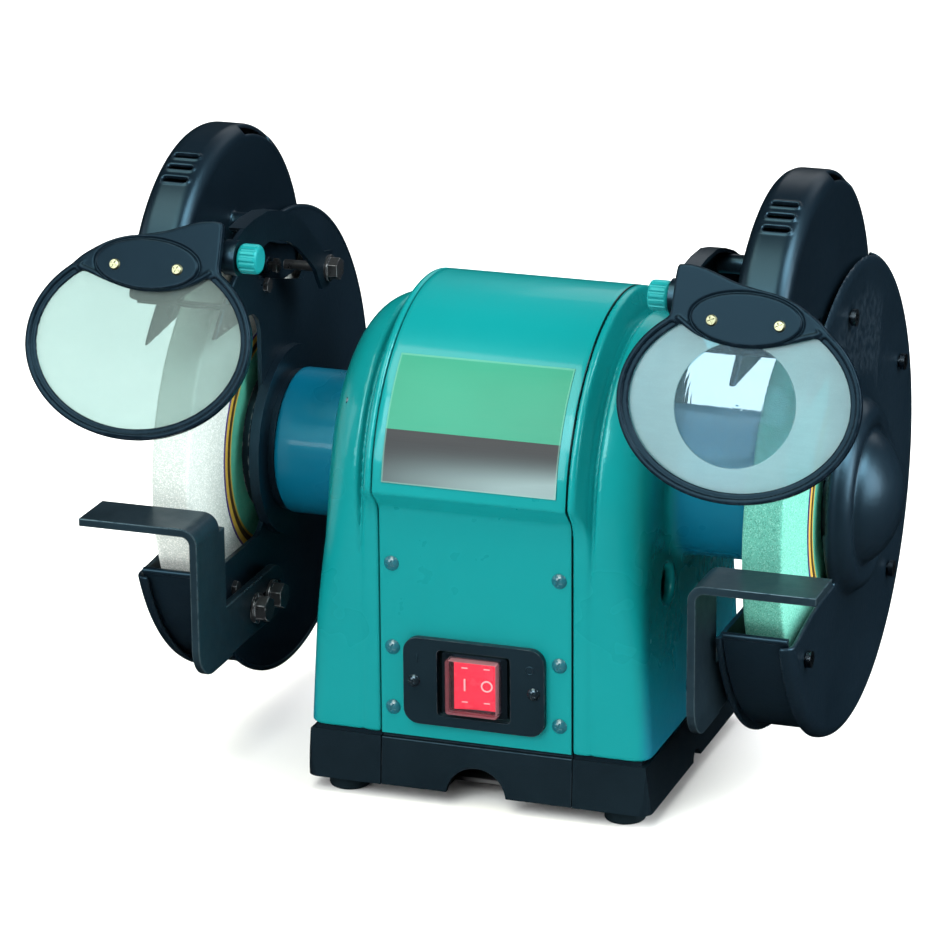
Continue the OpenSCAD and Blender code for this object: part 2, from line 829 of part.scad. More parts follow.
// Screws that clamp the two deflectors to the hoods
module deflector_screws() {
    color("#8f9396")
        for (s = [-1, 1]) at_side(s)
            for (x = deflector_screw_x) {
                y_rod(1.5, -115, -107.4, x, deflector_screw_z);
                y_rod(3.3, -107.5, -105.5, x, deflector_screw_z);
            }
}

// ---------------------------------------------------------------- tool rest

// Steel rest: plate across the wheel, upright leg and slotted arm
module tool_rest(side) {
    bend = 8;
    leg_w = leg_back - rest_front;
    color("#3b3f44") at_side(side) {
        front_plate(rest_front, rest_back) difference() {
            union() {
                translate([rest_in_x + bend, rest_top - rest_t])
                    square([rest_out_x - rest_in_x - bend, rest_t]);
                translate([rest_in_x, rest_top - 40]) square([rest_t, 40 - bend]);
                intersection() {
                    translate([rest_in_x + bend, rest_top - bend]) circle(bend);
                    translate([rest_in_x, rest_top - bend]) square(bend);
                }
            }
            translate([rest_in_x + bend, rest_top - bend]) circle(bend - rest_t);
            translate([rest_in_x + bend, rest_top - 2 * bend]) square([1, bend]);
        }
        difference() {
            side_plate(rest_in_x, rest_in_x + rest_t) {
                translate([rest_front, rest_top - 39]) square([leg_w, 20]);
                translate([rest_front, -64]) square([leg_w, 30]);
                translate([rest_back, rest_top - 40]) square([leg_back - rest_back, 40 - 9]);
                translate([rest_front + 17.3, -64]) circle(17.3);
                translate([rest_front + 17.3, -81.3]) square([24, 25]);
                translate([rest_front + 17.3, arm_z - arm_h / 2])
                    square([arm_end - arm_h / 2 - rest_front - 17.3, arm_h]);
                translate([arm_end - arm_h / 2, arm_z]) circle(arm_h / 2);
            }
            side_plate(rest_in_x - 1, rest_in_x + rest_t + 1) {
                translate([rest_bolt_y[0] - 2.5, arm_z - 3.6])
                    square([rest_bolt_y[1] - rest_bolt_y[0] + 14, 7.2]);
                translate([rest_bolt_y[0] - 2.5, arm_z]) circle(3.6);
                translate([rest_bolt_y[1] + 11.5, arm_z]) circle(3.6);
            }
        }
    }
}

// Washer and hexagonal head clamping a tool rest
module rest_bolts() {
    x1 = rest_in_x - 0.3;
    color("#2a2c2e")
        for (s = [-1, 1]) at_side(s)
            for (y = rest_bolt_y) {
                x_rod(7.6, x1 - 1.6, x1, y, arm_z);
                x_hex(6.6, x1 - 7.2, x1 - 1.6, y, arm_z);
                x_rod(3, x1, guard_in_x + 6, y, arm_z);
            }
}

// ---------------------------------------------------------------- eye shield

// Arched arm from the guard back to the shield pivot
module shield_bracket(side) {
    plate_x = 105.6;
    plate_t = 2;
    flange_w = 8;
    outer = [[-112, 129.6], [-101, 133], [-85, 134.9], [-69, 134.6], [-55, 131.6], [-41, 126.8],
        [-28, 120.6], [-16, 112], [-5, 102.4], [3, 96], [14, 94], [17, 84], [8, 77.5], [0, 78]];
    inner = [[-4, 83], [-8, 89.5], [-15, 95.5], [-23, 101], [-31, 106.6], [-42, 112.6], [-54, 116.8],
        [-67, 119.4], [-77, 119], [-86, 116.6], [-97, 116], [-104, 114.8]];
    flange_path = [[-98, 133.6], [-85, 134.9], [-69, 134.6], [-55, 131.6], [-41, 126.8],
        [-28, 120.6], [-16, 112], [-5, 102.4], [3, 96]];
    count = len(flange_path);
    flange_in = [for (i = [count - 1:-1:0]) flange_path[i] * 0.985];
    color("#26282b") at_side(side) difference() {
        union() {
            side_plate(plate_x, plate_x + plate_t) polygon(concat(outer, inner));
            side_plate(plate_x, plate_x + flange_w) polygon(concat(flange_path, flange_in));
            x_rod(lug_r, lug_in_x, lug_out_x, pivot_y, pivot_z);
        }
        x_rod(2.6, 90, 120, pivot_y, pivot_z);
        x_rod(2.6, 100, 112, foot_y, foot_z);
    }
}

module bracket_bolts() {
    color("#303234")
        for (s = [-1, 1]) at_side(s) {
            x_rod(6.6, 104.2, 105.6, foot_y, foot_z);
            x_hex(5.6, 99.4, 104.2, foot_y, foot_z);
            x_rod(2.5, 105.6, guard_in_x + 2, foot_y, foot_z);
            for (p = concat(hood_bolt_pos, [plate_bolt_pos])) {
                x_hex(3.8, guard_in_x - 2.4, guard_in_x - eps, p[0], p[1]);
                x_rod(2, guard_in_x - 1, guard_in_x + guard_t + 2, p[0], p[1]);
            }
        }
}

// Puts children in the shield's own plane: x along the shaft, y up the plate, z forwards
module in_shield_plane(tilt) {
    translate([0, pivot_y, axis_h + pivot_z]) rotate([90 - tilt, 0, 0])
        translate([0, 0, plate_fwd]) children();
}

// Front view of the frame, centred on the shield, y up from the pivot
module shield_outline(inset = 0) {
    translate([shield_x, -oval_drop]) scale([shield_a - inset, shield_b - inset]) circle(1, $fn = 96);
}

// Upper lobe of the frame that carries the pad and the pivot ear
module lobe_outline() {
    polygon([[109.4, 12.4], [112, 13.6], [120, 13.2], [128, 11], [136, 8], [146, 5.8], [156, 4.2],
        [164, 1.4], [171, -3], [177, -8], [178, -13], [172, -14.5], [163, -18], [153, -20.6],
        [143, -21.4], [132, -20.4], [122, -17.4], [114, -13], [108.6, -9]]);
}

module shield_frame(side, tilt) {
    ear_t = 3;
    ear_half = lug_r - 1.7;
    color("#1c1d22") at_side(side) difference() {
        union() {
            in_shield_plane(tilt) {
                linear_extrude(shield_t) difference() {
                    union() {
                        shield_outline();
                        lobe_outline();
                    }
                    difference() {
                        shield_outline(shield_rim);
                        lobe_outline();
                    }
                }
                translate([shield_x, -screw_drop + 1.4, shield_t]) linear_extrude(1)
                    scale([25.5, 11.6]) circle(1, $fn = 96);
            }
            x_rod(lug_r - 1, lug_out_x + 0.4, lug_out_x + 0.4 + ear_t, pivot_y, pivot_z);
            translate([lug_out_x + 0.4 + eps, pivot_y, axis_h + pivot_z]) rotate([90 - tilt, 0, 0])
                translate([0, -ear_half, 0]) cube([ear_t - 2 * eps, 2 * ear_half, plate_fwd + 1]);
        }
        x_rod(2.6, 90, 120, pivot_y, pivot_z);
        in_shield_plane(tilt) {
            translate([0, 0, -1]) linear_extrude(window_t + 1.2) shield_outline(shield_rim - 1.6);
            for (x = shield_screw_x)
                translate([shield_x + x, -screw_drop, -2]) cylinder(r = 1.6, h = 10);
        }
    }
}

module shield_window(side, tilt) {
    color("#9fb5b0", 0.35) at_side(side) in_shield_plane(tilt) difference() {
        linear_extrude(window_t) shield_outline(shield_rim - 1.4);
        for (x = shield_screw_x)
            translate([shield_x + x, -screw_drop, -2]) cylinder(r = 1.7, h = 10);
    }
}

module shield_screws(side, tilt) {
    color("#c9c19a") at_side(side) in_shield_plane(tilt)
        for (x = shield_screw_x) translate([shield_x + x, -screw_drop, 0]) difference() {
            union() {
                translate([0, 0, shield_t + 1 + eps]) cylinder(r1 = 2.7, r2 = 2.1, h = 1.5);
                translate([0, 0, -1.6]) cylinder(r = 1.5, h = shield_t + 2.6 + 2 * eps);
                translate([0, 0, -1.6]) cylinder(r = 2.8, h = 1.58, $fn = 6);
            }
            for (a = [25, 115])
                rotate([0, 0, a]) translate([-1.7, -0.3, shield_t + 1.9]) cube([3.4, 0.6, 1]);
        }
}

// Ribbed thumb knob with its clamping screw
module knob(side) {
    ribs = 14;
    x1 = lug_in_x - 0.4;
    x0 = x1 - knob_len;
    color("#2bbfc0") at_side(side) {
        difference() {
            x_turned(pivot_y, pivot_z) hood_profile(knob_r, x0, x1, 2.2);
            for (i = [0:ribs - 1])
                translate([0, pivot_y, axis_h + pivot_z]) rotate([i * 360 / ribs, 0, 0])
                    translate([x0 - 1, knob_r + 0.35, 0]) rotate([0, 90, 0])
                        cylinder(r = 1, h = knob_len - 0.6);
        }
        x_rod(2.5, x1 - 1, lug_out_x + 3, pivot_y, pivot_z);
    }
}

module magnifier_lens() {
    steps = 12;
    crown = 3.4;
    edge = 0.6;
    face = [for (i = [0:steps]) [lens_r * i / steps, crown - (crown - edge) * pow(i / steps, 2)]];
    color("#b7d3d4", 0.35) at_side(RIGHT) in_shield_plane(right_tilt)
        translate([shield_x - 2, -screw_drop - 36.5, -eps]) mirror([0, 0, 1])
            rotate_extrude($fn = 96) polygon(concat([[0, 0]], face, [[lens_r, 0]]));
}

// ---------------------------------------------------------------- guard fasteners

module guard_cover_screws() {
    color("#8f9396")
        for (s = [-1, 1]) at_side(s)
            for (p = cover_screw_pos) difference() {
                union() {
                    x_rod(4, guard_out_x + eps, guard_out_x + 2.2, p[0], p[1]);
                    x_rod(2.1, guard_out_x - 4.6, guard_out_x + 1, p[0], p[1]);
                }
                for (a = [20, 110])
                    translate([guard_out_x + 1.4, p[0], axis_h + p[1]]) rotate([a, 0, 0])
                        translate([0, -2.4, -0.5]) cube([2, 4.8, 1]);
            }
}

module guard_mount_screws() {
    color("#a5a9ac")
        for (s = [-1, 1]) at_side(s)
            for (a = [45:90:315]) {
                x_rod(1.85, boss_x - 10, guard_in_x + 2.2, 29.5 * cos(a), 29.5 * sin(a));
            }
}

drum_cover();
end_housing(LEFT);  // left_end_housing
end_housing(RIGHT);  // right_end_housing
base_end(LEFT);  // base_left
base_centre();
base_end(RIGHT);  // base_right
bottom_plate();
rubber_feet();
base_screws();
stator_core();
stator_windings();
capacitor();
terminal_block();
cable_gland();
front_label();
panel_screws();
switch_bezel();
bezel_screws();
switch_body();
switch_cover();
switch_rocker();
tie_bolts();
shaft_bearings();
shaft();
rotor_core();
left_wheel();
right_wheel();
wheel_blotters();
inner_flanges();
outer_flanges();
spindle_nut(LEFT);  // left_spindle_nut
spindle_nut(RIGHT);  // right_spindle_nut
guard_back(LEFT);  // left_guard_back
guard_band(LEFT);  // left_guard_band
guard_cover(LEFT);  // left_guard_cover
spark_hood(LEFT);  // left_spark_hood
deflector(LEFT);  // left_deflector
tool_rest(LEFT);  // left_tool_rest
shield_bracket(LEFT);  // left_shield_bracket
shield_frame(LEFT, left_tilt);  // left_shield_frame
shield_window(LEFT, left_tilt);  // left_shield_window
shield_screws(LEFT, left_tilt);  // left_shield_screws
knob(LEFT);  // left_knob
guard_back(RIGHT);  // right_guard_back
guard_band(RIGHT);  // right_guard_band
guard_cover(RIGHT);  // right_guard_cover
spark_hood(RIGHT);  // right_spark_hood
deflector(RIGHT);  // right_deflector
tool_rest(RIGHT);  // right_tool_rest
shield_bracket(RIGHT);  // right_shield_bracket
shield_frame(RIGHT, right_tilt);  // right_shield_frame
shield_window(RIGHT, right_tilt);  // right_shield_window
shield_screws(RIGHT, right_tilt);  // right_shield_screws
knob(RIGHT);  // right_knob
magnifier_lens();
guard_cover_screws();
guard_mount_screws();
rest_bolts();
deflector_screws();
bracket_bolts();
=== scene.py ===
import json
import math
import bmesh
import bpy
import numpy as np
from mathutils import Matrix, Vector

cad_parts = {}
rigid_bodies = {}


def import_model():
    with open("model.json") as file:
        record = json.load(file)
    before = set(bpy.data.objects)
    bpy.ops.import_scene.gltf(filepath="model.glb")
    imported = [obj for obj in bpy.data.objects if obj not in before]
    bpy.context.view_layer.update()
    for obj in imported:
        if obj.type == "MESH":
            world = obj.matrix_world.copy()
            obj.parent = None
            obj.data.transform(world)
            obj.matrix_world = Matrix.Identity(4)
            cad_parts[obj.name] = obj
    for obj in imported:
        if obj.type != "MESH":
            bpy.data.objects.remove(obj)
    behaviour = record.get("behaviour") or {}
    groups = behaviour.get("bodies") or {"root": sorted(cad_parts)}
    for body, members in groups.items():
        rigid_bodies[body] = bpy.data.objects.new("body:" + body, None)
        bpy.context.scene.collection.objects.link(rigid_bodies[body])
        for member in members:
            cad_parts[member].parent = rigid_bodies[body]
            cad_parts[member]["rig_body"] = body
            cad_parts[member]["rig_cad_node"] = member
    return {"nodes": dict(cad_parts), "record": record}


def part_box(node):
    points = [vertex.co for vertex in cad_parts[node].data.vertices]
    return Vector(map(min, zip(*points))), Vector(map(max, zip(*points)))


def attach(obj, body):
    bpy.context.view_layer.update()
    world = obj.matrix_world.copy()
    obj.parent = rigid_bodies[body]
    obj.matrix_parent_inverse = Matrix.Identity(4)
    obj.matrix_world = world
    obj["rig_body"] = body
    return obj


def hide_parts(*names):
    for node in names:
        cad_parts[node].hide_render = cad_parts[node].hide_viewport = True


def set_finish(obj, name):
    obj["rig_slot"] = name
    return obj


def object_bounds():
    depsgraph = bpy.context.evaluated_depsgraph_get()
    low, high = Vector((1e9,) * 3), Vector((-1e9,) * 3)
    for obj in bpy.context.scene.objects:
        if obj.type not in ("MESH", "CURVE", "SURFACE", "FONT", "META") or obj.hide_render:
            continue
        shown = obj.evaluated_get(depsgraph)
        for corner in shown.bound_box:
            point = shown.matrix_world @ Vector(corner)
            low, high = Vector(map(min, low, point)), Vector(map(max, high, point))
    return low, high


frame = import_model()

# Bench grinder: the looks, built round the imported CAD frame. Shapes are written in millimetres measured
# from the middle of the shaft and placed with the CAD's own boxes.

scene = bpy.context.scene
cad_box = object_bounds()
MM = 0.001
shaft_lo, shaft_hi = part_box("shaft")
AXIS = Vector((0, (shaft_lo.y + shaft_hi.y) / 2, (shaft_lo.z + shaft_hi.z) / 2))
SIDES = {"left": -1, "right": 1}
SLOT_OF = {s["node"]: s["material_slot"] for s in frame["record"]["subparts"]}
BODY_OF = {n: o["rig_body"] for n, o in frame["nodes"].items()}


# ------------------------------------------------------------------ signed-distance modelling kit
def smax(a, b, k):
    """Larger of two distances, blended over k where they meet."""
    return np.maximum(a, b) + np.maximum(k - np.abs(a - b), 0) ** 2 / (4 * k)


def smin(a, b, k):
    """Smaller of two distances, blended over k where they meet."""
    return -smax(-a, -b, k)


def mix_at(v, lo, hi, a, b):
    """a below lo, b above hi, smoothly between."""
    t = np.clip((v - lo) / (hi - lo), 0, 1)
    t = t * t * (3 - 2 * t)
    return a + (b - a) * t


def poly2(px, py, pts):
    """Signed distance to a closed polygon."""
    d = None
    s = 1.0
    for i in range(len(pts)):
        x0, y0 = pts[i]
        x1, y1 = pts[i - 1]
        ex, ey = x1 - x0, y1 - y0
        wx, wy = px - x0, py - y0
        t = np.clip((wx * ex + wy * ey) / max(ex * ex + ey * ey, 1e-12), 0, 1)
        q = (wx - ex * t) ** 2 + (wy - ey * t) ** 2
        d = q if d is None else np.minimum(d, q)
        c1, c2, c3 = py >= y0, py < y1, ex * wy > ey * wx
        s = np.where((c1 & c2 & c3) | (~c1 & ~c2 & ~c3), -s, s)
    return s * np.sqrt(d)


def box2(px, py, cx, cy, hx, hy, r=0.0):
    """Signed distance to a rectangle of half sizes hx and hy, with its corners rounded by r."""
    dx, dy = np.abs(px - cx) - hx + r, np.abs(py - cy) - hy + r
    return np.sqrt(np.maximum(dx, 0) ** 2 + np.maximum(dy, 0) ** 2) + np.minimum(np.maximum(dx, dy), 0) - r


def ellipse2(px, py, cx, cy, a, b):
    """Near-true distance to an ellipse of half axes a and b."""
    qx, qy = px - cx, py - cy
    k0 = np.sqrt((qx / a) ** 2 + (qy / b) ** 2)
    k1 = np.sqrt((qx / a**2) ** 2 + (qy / b**2) ** 2)
    return k0 * (k0 - 1) / np.maximum(k1, 1e-9)


def slab(d2, v, v0, v1, r=0.0):
    """Extrudes a flat distance from v0 to v1, with its edges rounded by r."""
    a, b = d2 + r, np.abs(v - (v0 + v1) / 2) - (v1 - v0) / 2 + r
    return np.sqrt(np.maximum(a, 0) ** 2 + np.maximum(b, 0) ** 2) + np.minimum(np.maximum(a, b), 0) - r


def surface(f, lo, hi, h, settle=2):
    """Meshes the zero level of f: one point for each crossed cell, one face for each crossed edge."""
    ax = [np.arange(lo[i], hi[i] + h, h, dtype=np.float32) for i in range(3)]
    v = np.asarray(f(ax[0][:, None, None], ax[1][None, :, None], ax[2][None, None, :]), np.float32)
    v = np.ascontiguousarray(np.broadcast_to(v, tuple(len(a) for a in ax)))
    ins = v < 0
    corners = [(i, j, k) for i in (0, 1) for j in (0, 1) for k in (0, 1)]
    n = [s - 1 for s in v.shape]
    cut = lambda a, c: a[c[0]:c[0] + n[0], c[1]:c[1] + n[1], c[2]:c[2] + n[2]]
    total = sum(cut(ins, c).astype(np.int8) for c in corners)
    cell = np.argwhere((total > 0) & (total < 8))
    index = np.full(n, -1, np.int64)
    index[tuple(cell.T)] = np.arange(len(cell))
    vals = {c: v[cell[:, 0] + c[0], cell[:, 1] + c[1], cell[:, 2] + c[2]] for c in corners}
    pos, count = np.zeros((len(cell), 3)), np.zeros(len(cell))
    for a in corners:
        for axis in range(3):
            if a[axis]:
                continue
            b = tuple(1 if i == axis else a[i] for i in range(3))
            va, vb = vals[a], vals[b]
            on = (va < 0) != (vb < 0)
            t = np.where(on, va / np.where(on, va - vb, 1), 0)
            p = np.tile(np.array(a, float), (len(cell), 1))
            p[:, axis] += t
            pos[on] += p[on]
            count[on] += 1
    p = (cell + pos / count[:, None]) * h + np.array([a[0] for a in ax])
    quads = []
    for axis in range(3):
        o1, o2 = [i for i in range(3) if i != axis]
        a = np.take(ins, range(n[axis]), axis)
        b = np.take(ins, range(1, n[axis] + 1), axis)
        e = np.argwhere(a != b)
        e = e[(e[:, o1] > 0) & (e[:, o2] > 0) & (e[:, o1] < n[o1]) & (e[:, o2] < n[o2])]
        ring = []
        for d1, d2 in ((0, 0), (1, 0), (1, 1), (0, 1)):
            q = e.copy()
            q[:, o1] -= d1
            q[:, o2] -= d2
            ring.append(index[tuple(q.T)])
        ring = np.stack(ring, 1)
        flip = ins[tuple(e.T)] if axis != 1 else ~ins[tuple(e.T)]
        ring[~flip] = ring[~flip][:, ::-1]
        quads.append(ring)
    quads = np.concatenate(quads)
    value = lambda q: np.asarray(f(q[:, 0], q[:, 1], q[:, 2]), float)
    step = 0.08 * h
    for _ in range(settle):
        d = value(p)
        g = np.stack([value(p + way * step) - value(p - way * step) for way in np.eye(3)], 1) / (2 * step)
        move = -d[:, None] * g / np.maximum((g**2).sum(1), 0.25)[:, None]
        size = np.sqrt((move**2).sum(1))
        p += move * np.minimum(1, 0.6 * h / np.maximum(size, 1e-9))[:, None]
    reach = 0.9
    lap = sum(value(p + way * reach) + value(p - way * reach) for way in np.eye(3)) - 6 * value(p)
    return p, quads, np.clip((lap / reach**2 - 0.12) / 0.7, 0, 1)


BOX_MARGIN = 1e-6


def mesh_object(name, verts, faces, edge):
    """A smooth mesh with its edge marks, and its points kept just inside the CAD's own box."""
    mesh = bpy.data.meshes.new(name)
    low, high = np.array(cad_box[0]) + BOX_MARGIN, np.array(cad_box[1]) - BOX_MARGIN
    verts = np.clip(np.asarray(verts, float), low, high)
    mesh.from_pydata([tuple(v) for v in verts], [], [tuple(int(i) for i in f) for f in faces])
    mesh.validate()
    if len(edge) == len(mesh.vertices):
        layer = mesh.attributes.new("edge", "FLOAT", "POINT")
        layer.data.foreach_set("value", np.asarray(edge, np.float32))
    mesh.polygons.foreach_set("use_smooth", [True] * len(mesh.polygons))
    obj = bpy.data.objects.new(name, mesh)
    scene.collection.objects.link(obj)
    return obj


def place(p):
    """Millimetres from the shaft's middle to metres in the CAD's frame."""
    return np.asarray(p) * MM + np.array(AXIS)


def take(obj, node):
    """obj stands for a CAD node, rides on its body and takes its slot."""
    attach(obj, BODY_OF[node])
    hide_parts(node)
    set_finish(obj, SLOT_OF[node])
    return obj


def mirrored(p, quads):
    """The same surface on the other side of the middle."""
    return p * np.array([-1, 1, 1]), quads[:, ::-1]


def moulded(base, f, lo, hi, h, to=None):
    """The right-hand and left-hand pieces of one shape, standing for right_BASE and left_BASE."""
    p, q, e = surface(f, lo, hi, h)
    for side in SIDES:
        ps, qs = (p, q) if side == "right" else mirrored(p, q)
        if to is not None:
            ps = to(ps, side)
        take(mesh_object(f"{side}_{base}_skin", place(ps), qs, e), f"{side}_{base}")


def rounded(points, radii, n=8):
    """An open path with each inner corner turned into an arc-like curve."""
    out = [points[0]]
    for i in range(1, len(points) - 1):
        p, a, b = np.array(points[i], float), np.array(points[i - 1], float), np.array(points[i + 1], float)
        ua, ub = (a - p) / np.linalg.norm(a - p), (b - p) / np.linalg.norm(b - p)
        half = math.acos(np.clip(ua @ ub, -1, 1)) / 2
        cutoff = radii[i - 1] / math.tan(half) if radii[i - 1] else 0
        cutoff = min(cutoff, np.linalg.norm(a - p) * 0.49, np.linalg.norm(b - p) * 0.49)
        if cutoff <= 0:
            out.append(tuple(p))
            continue
        start, end = p + ua * cutoff, p + ub * cutoff
        for t in np.linspace(0, 1, n):
            out.append(tuple((1 - t) ** 2 * start + 2 * t * (1 - t) * p + t**2 * end))
    out.append(points[-1])
    return out


def lathe(profile, segments, wobble):
    """A body of revolution about the shaft from (x, r) points, in millimetres."""
    verts, faces = [], []
    count = len(profile)
    for s in range(segments):
        a = 2 * math.pi * s / segments
        for i, (x, r) in enumerate(profile):
            w = wobble(i, a)
            verts.append((x, (r + w) * math.cos(a), (r + w) * math.sin(a)))
    for s in range(segments):
        t = (s + 1) % segments
        for i in range(count):
            j = (i + 1) % count
            faces.append((s * count + i, t * count + i, t * count + j, s * count + j))
    return verts, faces


def crafted(node, width, segments=2, angle=32):
    """A copy of a CAD node with its hard edges rounded over and marked for wear."""
    source = frame["nodes"][node]
    bm = bmesh.new()
    bm.from_mesh(source.data)
    bmesh.ops.remove_doubles(bm, verts=bm.verts, dist=2e-6)
    bmesh.ops.dissolve_limit(
        bm, angle_limit=math.radians(0.6), verts=bm.verts, edges=bm.edges, use_dissolve_boundaries=False
    )
    hard = [e for e in bm.edges if len(e.link_faces) == 2 and e.calc_face_angle(0) > math.radians(angle)]
    layer = bm.loops.layers.float.new("edge")
    if hard and width:
        done = bmesh.ops.bevel(
            bm, geom=hard, offset=width * MM, offset_type="OFFSET", segments=segments, profile=0.6,
            affect="EDGES", clamp_overlap=True, loop_slide=True,
        )
        for f in done["faces"]:
            for loop in f.loops:
                loop[layer] = 1.0
    bmesh.ops.triangulate(bm, faces=[f for f in bm.faces if len(f.verts) > 4])
    mesh = bpy.data.meshes.new(node + "_skin")
    bm.to_mesh(mesh)
    bm.free()
    mesh.polygons.foreach_set("use_smooth", [True] * len(mesh.polygons))
    obj = bpy.data.objects.new(node + "_skin", mesh)
    scene.collection.objects.link(obj)
    keep = obj.modifiers.new("normals", "WEIGHTED_NORMAL")
    keep.keep_sharp = True
    mesh.set_sharp_from_angle(angle=math.radians(angle))
    return take(obj, node)


# ------------------------------------------------------------------ materials
class Graph:
    """A small wrapper that builds a node tree line by line."""

    def __init__(self, name):
        self.mat = bpy.data.materials.new(name)
        self.mat.use_nodes = True
        self.t = self.mat.node_tree
        self.t.nodes.clear()
        self.out = self.t.nodes.new("ShaderNodeOutputMaterial")
        self.bsdf = self.t.nodes.new("ShaderNodeBsdfPrincipled")
        self.t.links.new(self.bsdf.outputs[0], self.out.inputs[0])
        self.where = self.t.nodes.new("ShaderNodeTexCoord").outputs["Object"]

    def node(self, kind, **props):
        """A new node with its properties set."""
        n = self.t.nodes.new(kind)
        for key, value in props.items():
            setattr(n, key, value)
        return n

    def link(self, a, b):
        """Joins two sockets."""
        self.t.links.new(a, b)

    def put(self, socket, value):
        """Joins value to the socket, or sets the socket to it."""
        if hasattr(value, "is_linked") or hasattr(value, "links"):
            self.link(value, socket)
        else:
            socket.default_value = value

    def set(self, **values):
        """Inputs of the main shader by name, with _ for a space."""
        for key, value in values.items():
            self.put(self.bsdf.inputs[key.replace("_", " ")], value)

    def noise(self, scale, detail=2, rough=0.5, where=None, stretch=None):
        """Cloudy noise, stretched along the axes if asked."""
        n = self.node("ShaderNodeTexNoise")
        n.inputs["Scale"].default_value = scale
        n.inputs["Detail"].default_value = detail
        n.inputs["Roughness"].default_value = rough
        spot = where or self.where
        if stretch:
            m = self.node("ShaderNodeMapping")
            m.inputs["Scale"].default_value = stretch
            self.link(spot, m.inputs["Vector"])
            spot = m.outputs[0]
        self.link(spot, n.inputs["Vector"])
        return n.outputs["Fac"]

    def cells(self, scale, feature="F1", out="Distance", rand=1.0):
        """Cell pattern, read as a distance or as a colour for each cell."""
        n = self.node("ShaderNodeTexVoronoi", feature=feature)
        n.inputs["Scale"].default_value = scale
        n.inputs["Randomness"].default_value = rand
        self.link(self.where, n.inputs["Vector"])
        return n.outputs[out]

    def math(self, op, a, b=0.0, c=0.0, clamp=False):
        """One arithmetic step."""
        n = self.node("ShaderNodeMath", operation=op, use_clamp=clamp)
        for i, v in enumerate((a, b, c)):
            if i < len(n.inputs):
                self.put(n.inputs[i], v)
        return n.outputs[0]

    def span(self, v, a, b, c=0.0, d=1.0, smooth=False):
        """v mapped from a..b to c..d, and held there."""
        n = self.node("ShaderNodeMapRange", clamp=True)
        if smooth:
            n.interpolation_type = "SMOOTHSTEP"
        for i, x in enumerate((v, a, b, c, d)):
            self.put(n.inputs[i], x)
        return n.outputs[0]

    def blend(self, fac, a, b):
        """Colour a below 0, colour b above 1, mixed between."""
        n = self.node("ShaderNodeMix", data_type="RGBA")
        self.put(n.inputs["Factor"], fac)
        for key, v in ((6, a), (7, b)):
            self.put(n.inputs[key], (*v, 1.0) if isinstance(v, tuple) and len(v) == 3 else v)
        return n.outputs[2]

    def bump(self, height, depth, strength=1.0, under=None):
        """Normal of a relief, laid over another if given."""
        n = self.node("ShaderNodeBump")
        n.inputs["Strength"].default_value = strength
        n.inputs["Distance"].default_value = depth
        self.link(height, n.inputs["Height"])
        if under is not None:
            self.link(under, n.inputs["Normal"])
        return n.outputs[0]

    def edge(self, low=0.25, high=0.8, scale=260, patch=0.5):
        """Where edges have rubbed through: the mesh's own edge marks, broken up by noise."""
        a = self.node("ShaderNodeAttribute", attribute_name="edge").outputs["Fac"]
        n = self.noise(scale, 3, 0.6)
        return self.span(self.math("MULTIPLY", a, self.span(n, patch - 0.12, patch + 0.12)), low, high)

    def axis(self, i):
        """One coordinate in metres: 0, 1 or 2 for X, Y or Z."""
        n = self.node("ShaderNodeSeparateXYZ")
        self.link(self.where, n.inputs[0])
        return n.outputs[i]

    def radius(self):
        """Distance from the shaft's axis, in metres."""
        y, z = self.axis(1), self.math("SUBTRACT", self.axis(2), AXIS.z)
        return self.math("SQRT", self.math("ADD", self.math("MULTIPLY", y, y), self.math("MULTIPLY", z, z)))


def shade(c, k):
    """A colour k times as bright."""
    return tuple(min(v * k, 1.0) for v in c)


WELL_INSET = 0.004


def drum_painted_shade(g):
    """Painted shade mask: 1 in the shadow gap beside the end housings and in the shaded well behind the
    switch plate.
    """
    lo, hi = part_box("switch_bezel")
    out = g.math("ABSOLUTE", g.axis(0))
    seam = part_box("drum_cover")[1].x
    gap = g.span(out, seam - 0.00055, seam - 0.0004)
    inside = []
    for i in (0, 2):
        off = g.math("ABSOLUTE", g.math("SUBTRACT", g.axis(i), (lo[i] + hi[i]) / 2))
        inside.append(g.math("LESS_THAN", off, (hi[i] - lo[i]) / 2 - WELL_INSET))
    well = g.math("MULTIPLY", *inside)
    return g.math("MAXIMUM", gap, g.math("MULTIPLY", well, g.math("LESS_THAN", g.axis(1), 0)))


